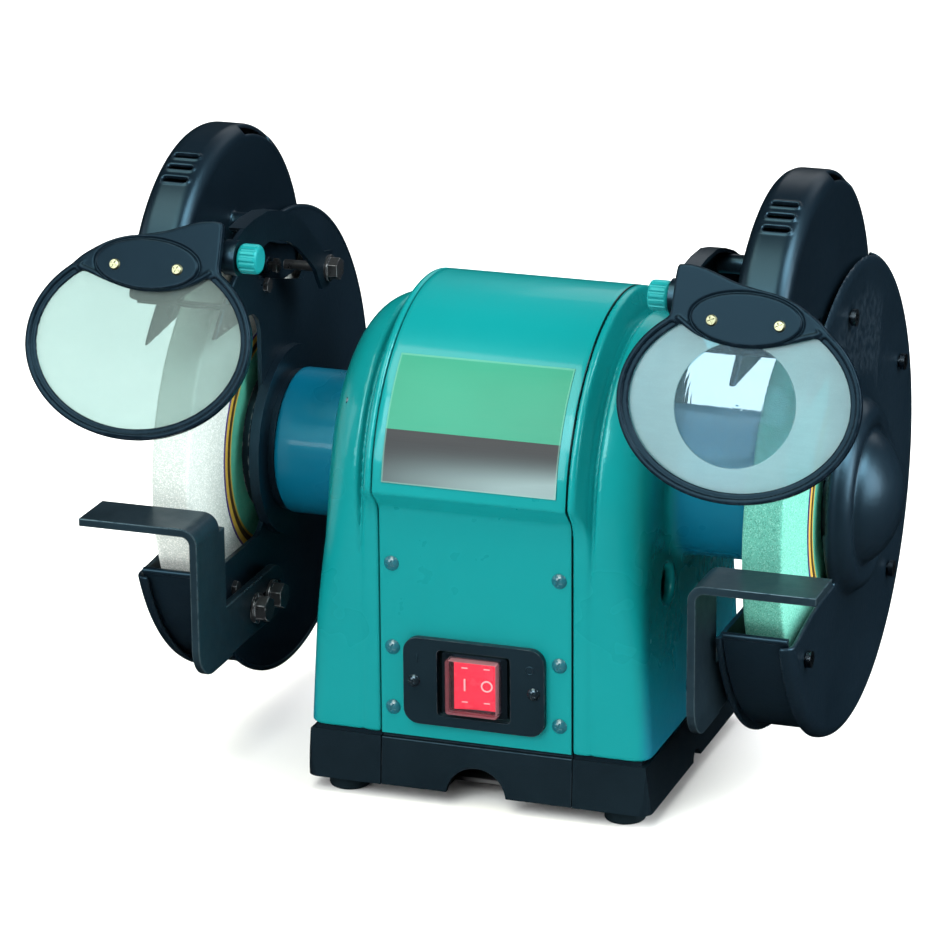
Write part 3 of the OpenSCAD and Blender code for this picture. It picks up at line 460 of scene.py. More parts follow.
def coated(name, base, rough=0.35, tone=0.10, tone_scale=24, var=0.10, peel=None, grain=None, coat=0.0,
           coat_rough=0.06, metal=0.0, spec=0.5, wear=None, dust=0.0, tint=(1.0, 1.0, 1.0), painted_shade=None):
    """Paint or plastic: cloudy tone, uneven gloss, orange peel, fine grain, dust, rubbed edges and, if given
    a mask, painted shade.
    """
    g = Graph(name)
    cloud = g.noise(tone_scale, 3, 0.55)
    fine = g.noise(tone_scale * 14, 2, 0.5)
    colour = g.blend(cloud, shade(base, 1 - tone), shade(base, 1 + tone))
    gloss = g.math("ADD", g.span(cloud, 0.25, 0.75, rough - var / 2, rough + var / 2),
                   g.span(fine, 0.2, 0.8, -0.02, 0.02))
    if dust:
        speck = g.span(g.cells(900), 0.0, 0.16, 1.0, 0.0)
        settle = g.math("MULTIPLY", speck, g.span(g.noise(60, 3), 0.5, 0.75, 0.0, dust))
        colour = g.blend(settle, colour, (0.42, 0.41, 0.39))
    if wear:
        bare, amount, shine = wear
        rub = g.math("MULTIPLY", g.edge(), amount)
        colour = g.blend(rub, colour, bare)
        gloss = g.blend(rub, g.blend(1.0, (0, 0, 0), gloss), (shine, shine, shine))
    normal = None
    if peel:
        normal = g.bump(g.noise(peel[0], 1.5, 0.4), peel[1])
    if grain:
        normal = g.bump(g.noise(grain[0], 3, 0.6), grain[1], under=normal)
    # Painted shade: the colour goes near black where the given mask marks shade in gaps and recesses.
    if painted_shade:
        colour = g.blend(painted_shade(g), colour, (0.0008, 0.0016, 0.002))
    g.set(Base_Color=colour, Roughness=gloss, Metallic=metal, Coat_Weight=coat, Coat_Roughness=coat_rough,
          Specular_IOR_Level=spec, Specular_Tint=(*tint, 1.0))
    if normal is not None:
        g.set(Normal=normal)
    return g.mat


def steel(name, base, rough=0.3, brush=(1, 60, 60), brush_scale=60, tone=0.12, depth=2e-5, stain=0.2,
          round_x=False):
    """Bare or plated metal with a brushed or turned lay, faint stains and scratches."""
    g = Graph(name)
    if round_x:
        join = g.node("ShaderNodeCombineXYZ")
        g.link(g.radius(), join.inputs[0])
        g.link(g.math("MULTIPLY", g.axis(0), 0.02), join.inputs[1])
        lay = g.noise(2600, 3, 0.6, where=join.outputs[0])
    else:
        lay = g.noise(brush_scale, 4, 0.65, stretch=brush)
    cloud = g.noise(35, 3, 0.6)
    colour = g.blend(lay, shade(base, 1 - tone), shade(base, 1 + tone))
    colour = g.blend(g.span(cloud, 0.52, 0.78, 0.0, stain), colour, shade(base, 0.45))
    g.set(Base_Color=colour, Metallic=1.0, Normal=g.bump(lay, depth),
          Roughness=g.math("ADD", g.span(lay, 0.3, 0.7, rough - 0.06, rough + 0.06),
                           g.span(cloud, 0.4, 0.7, 0.0, 0.1)))
    return g.mat


def grit(name, base, fleck, dark, relief):
    """Bonded abrasive: grains of three tones, open pores and a rough face."""
    g = Graph(name)
    grain = g.cells(2300, out="Color")
    pick = g.node("ShaderNodeSeparateColor")
    g.link(grain, pick.inputs[0])
    tone = g.blend(g.span(pick.outputs[0], 0.2, 0.6), shade(base, 0.86), base)
    tone = g.blend(g.span(pick.outputs[1], 0.80, 0.84, 0.0, 0.55), tone, fleck)
    tone = g.blend(g.span(pick.outputs[2], 0.84, 0.88, 0.0, 0.75), tone, dark)
    cloud = g.noise(18, 4, 0.6)
    tone = g.blend(g.span(cloud, 0.3, 0.75, 0.0, 0.25), tone, shade(base, 0.8))
    pore = g.cells(2300)
    deep = g.bump(pore, 2.2e-4 * relief, 0.9)
    g.set(Base_Color=tone, Roughness=g.span(pick.outputs[0], 0.0, 1.0, 0.72, 0.98), Specular_IOR_Level=0.35,
          Normal=g.bump(g.noise(700, 4, 0.65), 2.0e-4 * relief, 0.8, under=deep))
    return g.mat


def clear(name, base, rough=0.02, frost=0.0, haze=0.0, speck=0.0, veil=(0.8, 0.9, 0.9), spot=None):
    """Clear or frosted plastic sheet: tinted, faintly scuffed, with a milky veil and dust specks."""
    g = Graph(name)
    scuff = g.noise(70, 4, 0.7, stretch=(1, 1, 9))
    fine = g.cells(2600)
    g.set(Base_Color=g.blend(g.span(scuff, 0.3, 0.8), veil, shade(veil, 0.9)), Coat_Weight=0.4,
          Roughness=g.math("ADD", g.span(scuff, 0.35, 0.75, rough, rough + 0.08), frost),
          Normal=g.bump(g.noise(1100, 3, 0.6), 1e-5 + 8e-5 * frost))
    through = g.node("ShaderNodeBsdfTransparent")
    tone = g.blend(g.span(scuff, 0.3, 0.8), base, shade(base, 0.96))
    mix = g.node("ShaderNodeMixShader")
    sheen = g.node("ShaderNodeFresnel")
    sheen.inputs[0].default_value = 1.40
    milk = g.span(g.noise(24, 3), 0.3, 0.7, haze * 0.85, haze * 1.15)
    dots = g.math("MULTIPLY", g.span(fine, 0.05, 0.28, 1.0, 0.0), speck)
    cover = g.math("ADD", milk, dots)
    if spot:
        away = g.node("ShaderNodeVectorMath", operation="DISTANCE")
        g.link(g.where, away.inputs[0])
        away.inputs[1].default_value = spot[0]
        outside = g.span(away.outputs["Value"], spot[1] - 0.0006, spot[1])
        cover = g.math("MULTIPLY", cover, g.span(outside, 0.0, 1.0, 0.10, 1.0))
        tone = g.blend(outside, spot[2], tone)
    g.link(tone, through.inputs[0])
    g.link(g.math("ADD", sheen.outputs[0], cover, clamp=True), mix.inputs[0])
    g.link(through.outputs[0], mix.inputs[1])
    g.link(g.bsdf.outputs[0], mix.inputs[2])
    g.link(mix.outputs[0], g.out.inputs[0])
    return g.mat


def lens_glass(name, base):
    """Moulded magnifier: solid clear acrylic with faint ripples."""
    g = Graph(name)
    scuff = g.noise(60, 3, 0.6)
    g.set(Base_Color=g.blend(scuff, base, shade(base, 0.97)), Transmission_Weight=1.0, IOR=1.49,
          Roughness=g.span(scuff, 0.4, 0.8, 0.0, 0.03), Normal=g.bump(g.noise(300, 2), 6e-6))
    return g.mat


TEAL, BLUE = (0.002, 0.152, 0.160), (0.001, 0.10, 0.175)
COOL = (0.34, 0.72, 1.0)
SEA = (0.25, 0.85, 0.92)
INK = (0.0022, 0.005, 0.0085)


def casting_paint():
    """Gloss hammer-smooth paint: teal on the housing, turning bluer out along the bearing boss."""
    g = Graph("teal_casting")
    cloud = g.noise(14, 3, 0.55)
    out = g.math("ABSOLUTE", g.axis(0))
    teal = g.blend(cloud, shade(TEAL, 0.92), shade(TEAL, 1.08))
    blue = g.blend(cloud, shade(BLUE, 0.9), shade(BLUE, 1.1))
    chip = g.edge(0.55, 0.95, 420, 0.62)
    colour = g.blend(g.span(out, 0.0795, 0.0875, smooth=True), teal, blue)
    colour = g.blend(g.math("MULTIPLY", chip, 0.35), colour, (0.10, 0.42, 0.44))
    wave = g.bump(g.noise(230, 2, 0.5), 1.5e-4, 0.55)
    peel = g.bump(g.noise(900, 1.5, 0.45), 3.0e-5, 0.6, under=wave)
    g.set(Base_Color=colour, Roughness=g.span(cloud, 0.3, 0.7, 0.24, 0.34), Coat_Weight=0.25,
          Coat_Roughness=0.08,
          Specular_IOR_Level=0.4, Specular_Tint=(*SEA, 1.0),
          Normal=g.bump(g.noise(60, 3, 0.5), 2.5e-4, 0.25, under=peel))
    return g.mat


def label_print():
    """Printed film: a green field over a brushed band from black to silver, in a thin silver line."""
    g = Graph("label_print")
    x, z = g.axis(0), g.axis(2)
    lo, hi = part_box("front_label")
    split = AXIS.z + 0.0382
    brushed = g.noise(40, 4, 0.7, stretch=(1.5, 1, 90))
    fall = g.span(z, split, lo.z + 0.002, 0.0, 1.0, smooth=True)
    along = g.span(x, lo.x, hi.x, 0.0, 1.0)
    silver = g.math("MULTIPLY", g.math("MULTIPLY", fall, fall), g.math("ADD", along, 0.3), clamp=True)
    band = g.blend(silver, (0.003, 0.005, 0.008), (0.14, 0.20, 0.21))
    band = g.blend(g.span(brushed, 0.35, 0.75, 0.0, 0.07), band, (0.10, 0.12, 0.13))
    field = g.blend(g.noise(30, 2), (0.005, 0.150, 0.092), (0.007, 0.172, 0.108))
    colour = g.blend(g.math("GREATER_THAN", z, split), band, field)
    line = 0.0007
    rim = g.math("MAXIMUM", g.math("GREATER_THAN", g.math("ABSOLUTE", x), hi.x - line),
                 g.math("MAXIMUM", g.math("GREATER_THAN", z, hi.z - line),
                        g.math("LESS_THAN", z, lo.z + line)))
    colour = g.blend(g.math("MULTIPLY", rim, 0.3), colour, (0.12, 0.32, 0.27))
    g.set(Base_Color=colour, Roughness=g.span(brushed, 0.3, 0.7, 0.42, 0.56), Specular_IOR_Level=0.3,
          Normal=g.bump(g.noise(400, 2), 1.5e-5))
    return g.mat


def blotter_print():
    """Card washer with printed rings on its outer part."""
    g = Graph("blotter_paper")
    r = g.radius()
    colour = g.blend(g.span(r, 0.0497, 0.0500), (0.05, 0.30, 0.22), (0.40, 0.27, 0.03))
    for low, high, ink in ((0.0513, 0.0541, (0.035, 0.016, 0.008)), (0.0545, 0.0572, (0.45, 0.29, 0.04)),
                           (0.0573, 0.06, (0.035, 0.008, 0.14))):
        band = g.math("MULTIPLY", g.span(r, low - 0.0002, low), g.span(r, high, high + 0.0002, 1.0, 0.0))
        colour = g.blend(band, colour, ink)
    colour = g.blend(g.span(g.noise(900, 4, 0.7), 0.4, 0.7, 0.0, 0.15), colour, (0.2, 0.14, 0.05))
    g.set(Base_Color=colour, Roughness=g.span(g.noise(300, 3), 0.3, 0.7, 0.35, 0.55),
          Normal=g.bump(g.noise(2500, 3, 0.6), 3e-5))
    return g.mat


def rest_steel():
    """Blackened hot-rolled strip: blotchy scale, mill streaks and bright rubbed edges."""
    g = Graph("rest_steel")
    cloud = g.noise(28, 5, 0.65)
    streak = g.noise(45, 4, 0.7, stretch=(1, 12, 1))
    colour = g.blend(cloud, (0.0035, 0.0075, 0.011), (0.0075, 0.014, 0.019))
    colour = g.blend(g.span(streak, 0.58, 0.8, 0.0, 0.5), colour, (0.014, 0.024, 0.030))
    rub = g.edge(0.12, 0.75, 320, 0.46)
    colour = g.blend(g.math("MULTIPLY", rub, 0.7), colour, (0.055, 0.085, 0.10))
    pit = g.bump(g.noise(520, 5, 0.7), 9e-5, 0.6)
    g.set(Base_Color=colour, Metallic=g.math("MULTIPLY", rub, 0.6), Specular_IOR_Level=0.45,
          Specular_Tint=(*COOL, 1.0),
          Roughness=g.math("SUBTRACT", g.span(cloud, 0.3, 0.7, 0.32, 0.52), g.math("MULTIPLY", rub, 0.1)),
          Normal=g.bump(streak, 6e-5, 0.4, under=pit))
    return g.mat


def rocker_plastic():
    """Red rocker plastic with a painted glow: a faint red emission makes it look lit from inside."""
    g = Graph("red_rocker")
    cloud = g.noise(90, 2)
    g.set(Base_Color=g.blend(cloud, (0.62, 0.015, 0.05), (0.72, 0.03, 0.07)),
          Roughness=g.span(cloud, 0.3, 0.7, 0.22, 0.32),
          # Painted glow: a faint red emission brightens the rocker.
          Emission_Color=g.blend(g.span(g.noise(60, 2), 0.35, 0.7), (0.9, 0.02, 0.09), (1.0, 0.07, 0.16)),
          Emission_Strength=0.28, Normal=g.bump(g.noise(1200, 2), 2e-5))
    return g.mat


LENS_MIDDLE = tuple((Vector(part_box("magnifier_lens")[0]) + Vector(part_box("magnifier_lens")[1])) / 2)
LENS_EDGE = 0.0282

MATS = {
    # The teal paint carries painted shade in the seam gaps and the switch well.
    "teal_paint": coated("teal_paint", TEAL, 0.30, 0.06, 10, 0.06, painted_shade=drum_painted_shade, tint=SEA,
                         peel=(700, 2.2e-5), grain=(3200, 4e-6),
                         coat=0.25, coat_rough=0.08, spec=0.4, wear=((0.05, 0.40, 0.42), 0.3, 0.3)),
    "teal_casting": casting_paint(),
    "base_black": coated("base_black", (0.0030, 0.0055, 0.0080), 0.42, 0.15, 30, 0.12, grain=(1500, 6e-5),
                         wear=((0.012, 0.016, 0.02), 0.5, 0.35), dust=0.02, tint=COOL, spec=0.35),
    "zinc_sheet": steel("zinc_sheet", (0.52, 0.53, 0.54), 0.35),
    "foot_rubber": coated("foot_rubber", (0.004, 0.0065, 0.0075), 0.78, 0.2, 60, 0.1, grain=(1800, 9e-5),
                          spec=0.3, dust=0.3, tint=COOL),
    "lamination_steel": steel("lamination_steel", (0.25, 0.26, 0.27), 0.4, (400, 1, 1), 8),
    "copper_winding": steel("copper_winding", (0.72, 0.30, 0.14), 0.35, (300, 1, 1), 10),
    "capacitor_case": steel("capacitor_case", (0.72, 0.72, 0.71), 0.3, (60, 1, 1)),
    "terminal_plastic": coated("terminal_plastic", (0.72, 0.70, 0.64), 0.5, 0.05, grain=(1800, 2e-5)),
    "gland_plastic": coated("gland_plastic", (0.006, 0.008, 0.010), 0.48, 0.15, grain=(1600, 4e-5),
                            tint=COOL),
    "label_print": label_print(),
    "painted_screw": coated("painted_screw", (0.003, 0.075, 0.10), 0.34, 0.15, 300, 0.1, peel=(1500, 2e-5),
                            coat=0.5,
                            wear=((0.03, 0.16, 0.18), 0.5, 0.3)),
    "bezel_plastic": coated("bezel_plastic", (0.0035, 0.0075, 0.0110), 0.40, 0.12, 40, 0.08,
                            grain=(3000, 2.5e-5),
                            wear=((0.05, 0.05, 0.055), 0.7, 0.3), tint=COOL),
    "black_screw": coated("black_screw", (0.005, 0.008, 0.011), 0.22, 0.2, 200, 0.1, coat=0.4,
                          wear=((0.2, 0.2, 0.21), 0.5, 0.25), tint=COOL),
    "switch_plastic": coated("switch_plastic", (0.003, 0.005, 0.007), 0.22, 0.1, 50, 0.06,
                             grain=(2500, 1e-5), tint=COOL),
    "clear_cover": clear("clear_cover", (1.0, 0.86, 0.88), 0.05, veil=(0.5, 0.3, 0.34)),
    "red_rocker": rocker_plastic(),
    "zinc_steel": steel("zinc_steel", (0.075, 0.095, 0.115), 0.26, round_x=True),
    "bearing_steel": steel("bearing_steel", (0.66, 0.67, 0.68), 0.14, round_x=True),
    "ground_steel": steel("ground_steel", (0.6, 0.61, 0.62), 0.2, round_x=True),
    "white_grit": grit("white_grit", (0.52, 0.565, 0.54), (0.95, 0.95, 0.93), (0.70, 0.70, 0.66), 0.45),
    "green_grit": grit("green_grit", (0.095, 0.36, 0.285), (0.25, 0.55, 0.46), (0.03, 0.17, 0.13), 0.7),
    "blotter_paper": blotter_print(),
    "black_flange": coated("black_flange", (0.006, 0.009, 0.013), 0.34, 0.15, 50, 0.1, peel=(700, 3e-5),
                           wear=((0.25, 0.26, 0.27), 0.7, 0.3), tint=COOL),
    "guard_black": coated("guard_black", (0.0032, 0.0072, 0.0120), 0.33, 0.15, 22, 0.10, spec=0.45,
                          peel=(520, 4.5e-5),
                          grain=(2600, 1e-5), wear=((0.02, 0.03, 0.04), 0.35, 0.3), dust=0.012, tint=COOL),
    "hood_black": coated("hood_black", INK, 0.33, 0.12, 20, 0.08, spec=0.36, grain=(2400, 3e-5),
                         wear=((0.012, 0.02, 0.03), 0.35, 0.28), dust=0.008, tint=COOL),
    "dark_sheet": coated("dark_sheet", (0.008, 0.012, 0.016), 0.42, 0.15, 40, 0.1, peel=(500, 4e-5),
                         wear=((0.2, 0.21, 0.22), 0.6, 0.3), tint=COOL),
    "rest_steel": rest_steel(),
    "bracket_black": coated("bracket_black", INK, 0.33, 0.12, 30, 0.1, peel=(600, 4e-5),
                            wear=((0.015, 0.025, 0.032), 0.4, 0.28), dust=0.01, tint=COOL),
    "frame_black": coated("frame_black", INK, 0.24, 0.12, 25, 0.08, spec=0.11, grain=(2200, 1.2e-5),
                          wear=((0.012, 0.018, 0.026), 0.3, 0.22), tint=COOL),
    "left_window": clear("left_window", (0.50, 0.60, 0.59), 0.03, 0.02, haze=0.07, veil=(0.55, 0.68, 0.66)),
    "right_window": clear("right_window", (0.24, 0.60, 0.69), 0.10, 0.18, haze=0.50, speck=0.25,
                          veil=(0.10, 0.22, 0.25),
                          spot=(LENS_MIDDLE, LENS_EDGE, (0.60, 0.70, 0.76))),
    "brass_screw": steel("brass_screw", (0.30, 0.31, 0.20), 0.42, (1, 1, 1), 900),
    "knob_turquoise": coated("knob_turquoise", (0.004, 0.150, 0.160), 0.36, 0.1, 200, 0.08,
                             grain=(2500, 2e-5),
                             wear=((0.05, 0.45, 0.45), 0.5, 0.3), tint=SEA),
    "clear_lens": lens_glass("clear_lens", (0.93, 0.99, 1.0)),
    "black_bolt": coated("black_bolt", (0.03, 0.032, 0.036), 0.30, 0.25, 120, 0.12, metal=0.6,
                         grain=(1500, 3e-5),
                         wear=((0.35, 0.36, 0.38), 0.8, 0.25)),
}


def dress(obj, slot):
    """Gives obj its slot's material."""
    obj.data.materials.clear()
    obj.data.materials.append(MATS[slot])
    return obj


# ------------------------------------------------------------------ motor body
# The drum's radius, the front panel's distance in front of the shaft, and how far it drops below it.
DRUM_R, PANEL_Y, DROP = 90.5, 80.5, 115.7
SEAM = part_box("drum_cover")[1].x / MM


def drum_path():
    """Side view of the drum cover, from the bottom of its front panel round to the back."""
    a = math.radians(14)
    side = rounded([(-PANEL_Y, -DROP), (-PANEL_Y, -1.5), (-90.1, 8.2),
                    (-DRUM_R * math.cos(a), DRUM_R * math.sin(a))],
                   [7, 2.2], 9)
    side[0:1] = [(-PANEL_Y, z) for z in np.linspace(-DROP, -14, 8)]
    arc = [(-DRUM_R * math.cos(t), DRUM_R * math.sin(t)) for t in np.linspace(a, math.pi - a, 96)[1:-1]]
    return side + arc + [(-y, z) for y, z in reversed(side)]


def drum_skin():
    """Drum cover: one bent sheet whose side edges sink into a narrow seam."""
    path = np.array(drum_path())
    along = np.gradient(path, axis=0)
    along /= np.linalg.norm(along, axis=1)[:, None]
    out = np.stack([-along[:, 1], along[:, 0]], 1)
    columns = [(-SEAM, 0.45), (-SEAM + 0.12, 0.16), (-SEAM + 0.4, 0.0)]
    columns += [(x, 0.0) for x in np.linspace(-SEAM + 3, SEAM - 3, 9)]
    columns += [(SEAM - 0.4, 0.0), (SEAM - 0.12, 0.16), (SEAM, 0.45), (SEAM, 1.6), (-SEAM, 1.6)]
    verts, faces, edge = [], [], []
    for p, o in zip(path, out):
        for x, sink in columns:
            verts.append((x, *(p - o * sink)))
            edge.append(1.0 if 0.05 < sink < 1 else 0.0)
    n, m = len(columns), len(path)
    for i in range(m - 1):
        for j in range(n):
            k = (j + 1) % n
            faces.append((i * n + j, i * n + k, (i + 1) * n + k, (i + 1) * n + j))
    faces.append(tuple(range(n))[::-1])
    faces.append(tuple((m - 1) * n + j for j in range(n)))
    obj = mesh_object("drum_cover_skin", place(verts), faces, edge)
    bm = bmesh.new()
    bm.from_mesh(obj.data)
    bmesh.ops.recalc_face_normals(bm, faces=bm.faces)
    bm.to_mesh(obj.data)
    bm.free()
    obj.data.set_sharp_from_angle(angle=math.radians(50))
    return take(obj, "drum_cover")


def housing(x, y, z):
    """Cast end housing: rim, tapering groove, domed bell, boss and the hollow behind."""
    ay = np.abs(y)
    rho = np.sqrt(y * y + np.maximum(z, 0) ** 2)
    flank = 80.4 + 0.057 * np.maximum(-(z + 23), 0)
    k = mix_at(z, -70, 25, 9.0, 30.0)
    bell = smax(rho - 80.3, x - flank, k)
    ring = np.sqrt(y * y + z * z)
    ledge = (ay - PANEL_Y) * 0.711 - (z + 1.5) * 0.703
    rim2 = smin(smax(ring - DRUM_R, ledge, 2.5), np.maximum(ay - PANEL_Y, z - 20), 7)
    rim = slab(rim2, x, 40, 56.2, 1.3)
    floor = mix_at(z, -44, 14, 80.9, 75.0)
    groove = np.abs(x - 57.6) * 0.94 - (rho - floor) * 0.36
    d = smax(smin(bell, rim, 1.0), -groove, 1.6)
    boss = slab(ring - 36, x, 60, 119, 1.6)
    d = smin(d, boss, 6)
    for s in (-1, 1):
        hole = np.sqrt((y - s * 37) ** 2 + (z + 40.5) ** 2)
        d = smin(d, slab(hole - 12.5, x, 64, flank - 0.4, 1.0), 1.0)
        d = smax(d, -slab(hole - 9.5, x, flank - 11, 100, 0), 1.4)
    d = np.maximum(d, -smax(rho - 71.5, bell + 4.6, 2))
    d = smin(d, np.maximum(np.maximum(ring - 34, x - 112), 66 - x), 1.0)
    d = np.maximum(d, 13.5 - ring)
    d = np.maximum(d, -np.maximum(ring - 23.6, 98.9 - x))
    d = smax(d, SEAM + 0.3 - x, 0.9)
    return smax(d, -(z + DROP), 1.6)


# ------------------------------------------------------------------ guards
HOOD = (-38.0, 80.0, 85.0)
HOOD_X = (132.2, 157.8)
LOUVRE_ANGLES = (112.6, 118.1, 123.6)
SHOULDER_ARC = (58, 82)
SHOULDER_R = 82.6
HOOD_POST = (-47, 122)
HOOD_LUGS = ((-11, 91), (-23, 84.5))
DEFLECTOR_SCREW_X = (140.5, 149.5)


def hood(x, y, z):
    """Spark hood: rounded channel with three louvres, a slot on each shoulder and its fixing post."""
    u, w = y - HOOD[0], z - HOOD[1]
    rr = np.sqrt(u * u + w * w)
    mid, half = sum(HOOD_X) / 2, (HOOD_X[1] - HOOD_X[0]) / 2
    d = smax(box2(x, rr, mid, 0, half, HOOD[2], 7.5), -box2(x, rr, mid, 0, half - 2, HOOD[2] - 2, 5.5), 0.5)
    region = poly2(y, z, [(-130, 101), (-52, 101), (-34, 76), (30, 76), (44, 92), (47, 113), (47, 180),
                          (-130, 180)])
    d = smax(d, region, 1.2)
    shaft = np.sqrt(y * y + z * z)
    d = smax(d, -np.maximum(np.maximum(shaft - 105, HOOD_X[0] + 5 - x), x - 170), 0.8)
    for angle in LOUVRE_ANGLES:
        a = math.radians(angle)
        across, out = -u * math.sin(a) + w * math.cos(a), u * math.cos(a) + w * math.sin(a)
        slot = np.maximum(box2(x, across, 145.4, 0, 6.25, 1.45, 1.4), np.abs(out - HOOD[2]) - 6)
        lip = np.maximum(np.abs(box2(x, across, 145.4, 0, 6.9, 2.1, 2.0)) - 0.5,
                         np.abs(out - HOOD[2] - 0.1) - 0.5)
        d = smax(smin(d, lip, 0.9), -slot, 0.9)
    lo, hi = (math.radians(angle) for angle in SHOULDER_ARC)
    t = np.clip(np.arctan2(w, u), lo, hi)
    off_arc = (u - SHOULDER_R * np.cos(t)) ** 2 + (w - SHOULDER_R * np.sin(t)) ** 2
    tube = np.sqrt(off_arc + (np.abs(x - mid) - 10.6) ** 2) - 2.5
    d = smax(d, -tube, 0.9)
    post_r = np.sqrt((y - HOOD_POST[0]) ** 2 + (z - HOOD_POST[1]) ** 2)
    post = slab(post_r - 4.6, x, 107.8, HOOD_X[0] + 1.5, 0.5)
    d = smin(d, post, 2.0)
    for by, bz in HOOD_LUGS:
        r = np.sqrt((y - by) ** 2 + (z - bz) ** 2)
        d = smin(d, slab(r - 4.2, x, 128.6, HOOD_X[0] + 1.5, 0.3), 0.8)
        d = np.maximum(d, -slab(r - 2.1, x, 126, HOOD_X[0] - 1, 0))
    for bx in DEFLECTOR_SCREW_X:
        r = np.sqrt((x - bx) ** 2 + (z - 108) ** 2)
        d = smin(d, slab(r - 3.6, y, -117, -109.9, 0.3), 0.8)
        d = np.maximum(d, -slab(r - 1.55, y, -115.5, -108, 0))
    return d


COVER = np.array([(0, 186.0), (6, 185.5), (12, 184.1), (18, 181.7), (23, 178.9), (27, 175.8), (30, 172.6),
                  (31.4, 170.6),
                  (32.4, 169.6), (33.4, 169.7), (35, 170.6), (37.5, 171.1), (40.5, 170.7), (43, 169.1),
                  (45, 166.6),
                  (46.2, 164.4), (47.4, 163.2), (49, 163.0), (130, 163.0)])


def smooth_table(table, step=0.25):
    """Samples a smooth curve through the points of a profile."""
    xs = np.arange(table[0, 0], table[-1, 0], step)
    slope = np.gradient(table[:, 1], table[:, 0])
    i = np.clip(np.searchsorted(table[:, 0], xs, side="right") - 1, 0, len(table) - 2)
    w = table[i + 1, 0] - table[i, 0]
    t = (xs - table[i, 0]) / w
    h = (2 * t**3 - 3 * t**2 + 1, t**3 - 2 * t**2 + t, -2 * t**3 + 3 * t**2, t**3 - t**2)
    return xs, h[0] * table[i, 1] + h[1] * w * slope[i] + h[2] * table[i + 1, 1] + h[3] * w * slope[i + 1]


COVER_R, COVER_X = smooth_table(COVER)


def cover(x, y, z):
    """Outer guard cover: rounded pan, raised ring and hub dome, open at the front."""
    r = np.sqrt(y * y + z * z)
    face = np.interp(r, COVER_R, COVER_X)
    lean = np.where(r < 48, 0.72, 1.0)
    outer = smax((x - face) * lean, r - 115.8, 7)
    inner = smax((x - face + np.where(r < 49, 4.4, 2.2)) * lean, r - 113.6, 5)
    d = smax(outer, -inner, 0.5)
    d = smax(d, 155.6 - x, 0.8)
    low = z - 0.1 * (y + 50)
    mouth = smax(box2(y, low, -224, 19.5, 200, 53.5, 12), 47.6 - r, 2.5)
    d = smax(d, -mouth, 1.2)
    return np.maximum(d, -np.maximum(np.sqrt((y - HOOD[0]) ** 2 + (z - HOOD[1]) ** 2) - 85.3, x - 160.7))


# ------------------------------------------------------------------ eye shields
PIVOT = (-108.0, 122.3)
FORWARD = 10.4
SHIELD = (143.4, -45.0, 56.0, 45.5)
TILT = {}
for side_name in SIDES:
    t_lo, t_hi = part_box(side_name + "_shield_window")
    TILT[side_name] = math.atan2(t_hi.y - t_lo.y, t_hi.z - t_lo.z)


def off_plane(points, side):
    """(x, up the plate, forward) to (x, y, z) from the shaft."""
    t = TILT[side]
    n = points[:, 2] + FORWARD
    y = PIVOT[0] + points[:, 1] * math.sin(t) - n * math.cos(t)
    z = PIVOT[1] + points[:, 1] * math.cos(t) + n * math.sin(t)
    return np.stack([points[:, 0], y, z], 1)


LOBE = [(109.2, 12.2), (111.4, 13.8), (116, 13.9), (122, 12.8), (129, 10.4), (137, 7.6), (147, 5.4),
        (156, 3.8),
        (164, 1.0), (171, -3.2), (176.6, -8), (178, -12.6), (172, -14.9), (163, -17.8), (153, -20.3),
        (143, -21.2),
        (132, -20.2), (122, -17.4), (114, -13), (108.8, -8), (108.6, 2)]


def spline_loop(points, per=4):
    """A closed smooth curve through the points."""
    p = np.array(points, float)
    out = []
    for i in range(len(p)):
        a, b, c, d = p[i - 1], p[i], p[(i + 1) % len(p)], p[(i + 2) % len(p)]
        bend, twist = 2 * a - 5 * b + 4 * c - d, 3 * b - a - 3 * c + d
        for t in np.arange(per) / per:
            out.append(0.5 * (2 * b + (c - a) * t + bend * t**2 + twist * t**3))
    return out


class Baked:
    """A flat distance sampled once on a grid, so that it is quick to read at many points."""

    def __init__(self, f, lo, hi, step=0.35):
        self.lo, self.step = lo, step
        u = np.arange(lo[0], hi[0] + step, step)
        v = np.arange(lo[1], hi[1] + step, step)
        self.d = f(u[:, None], v[None, :])

    def __call__(self, u, v):
        """Reads the grid between its points."""
        a = np.clip((u - self.lo[0]) / self.step, 0, self.d.shape[0] - 1.001)
        b = np.clip((v - self.lo[1]) / self.step, 0, self.d.shape[1] - 1.001)
        i, j = a.astype(int), b.astype(int)
        s, t = a - i, b - j
        g = self.d
        return (g[i, j] * (1 - s) * (1 - t) + g[i + 1, j] * s * (1 - t) + g[i, j + 1] * (1 - s) * t
                + g[i + 1, j + 1] * s * t)


lobe2 = Baked(lambda u, v: poly2(u, v, spline_loop(LOBE)), (84, -95), (203, 20))


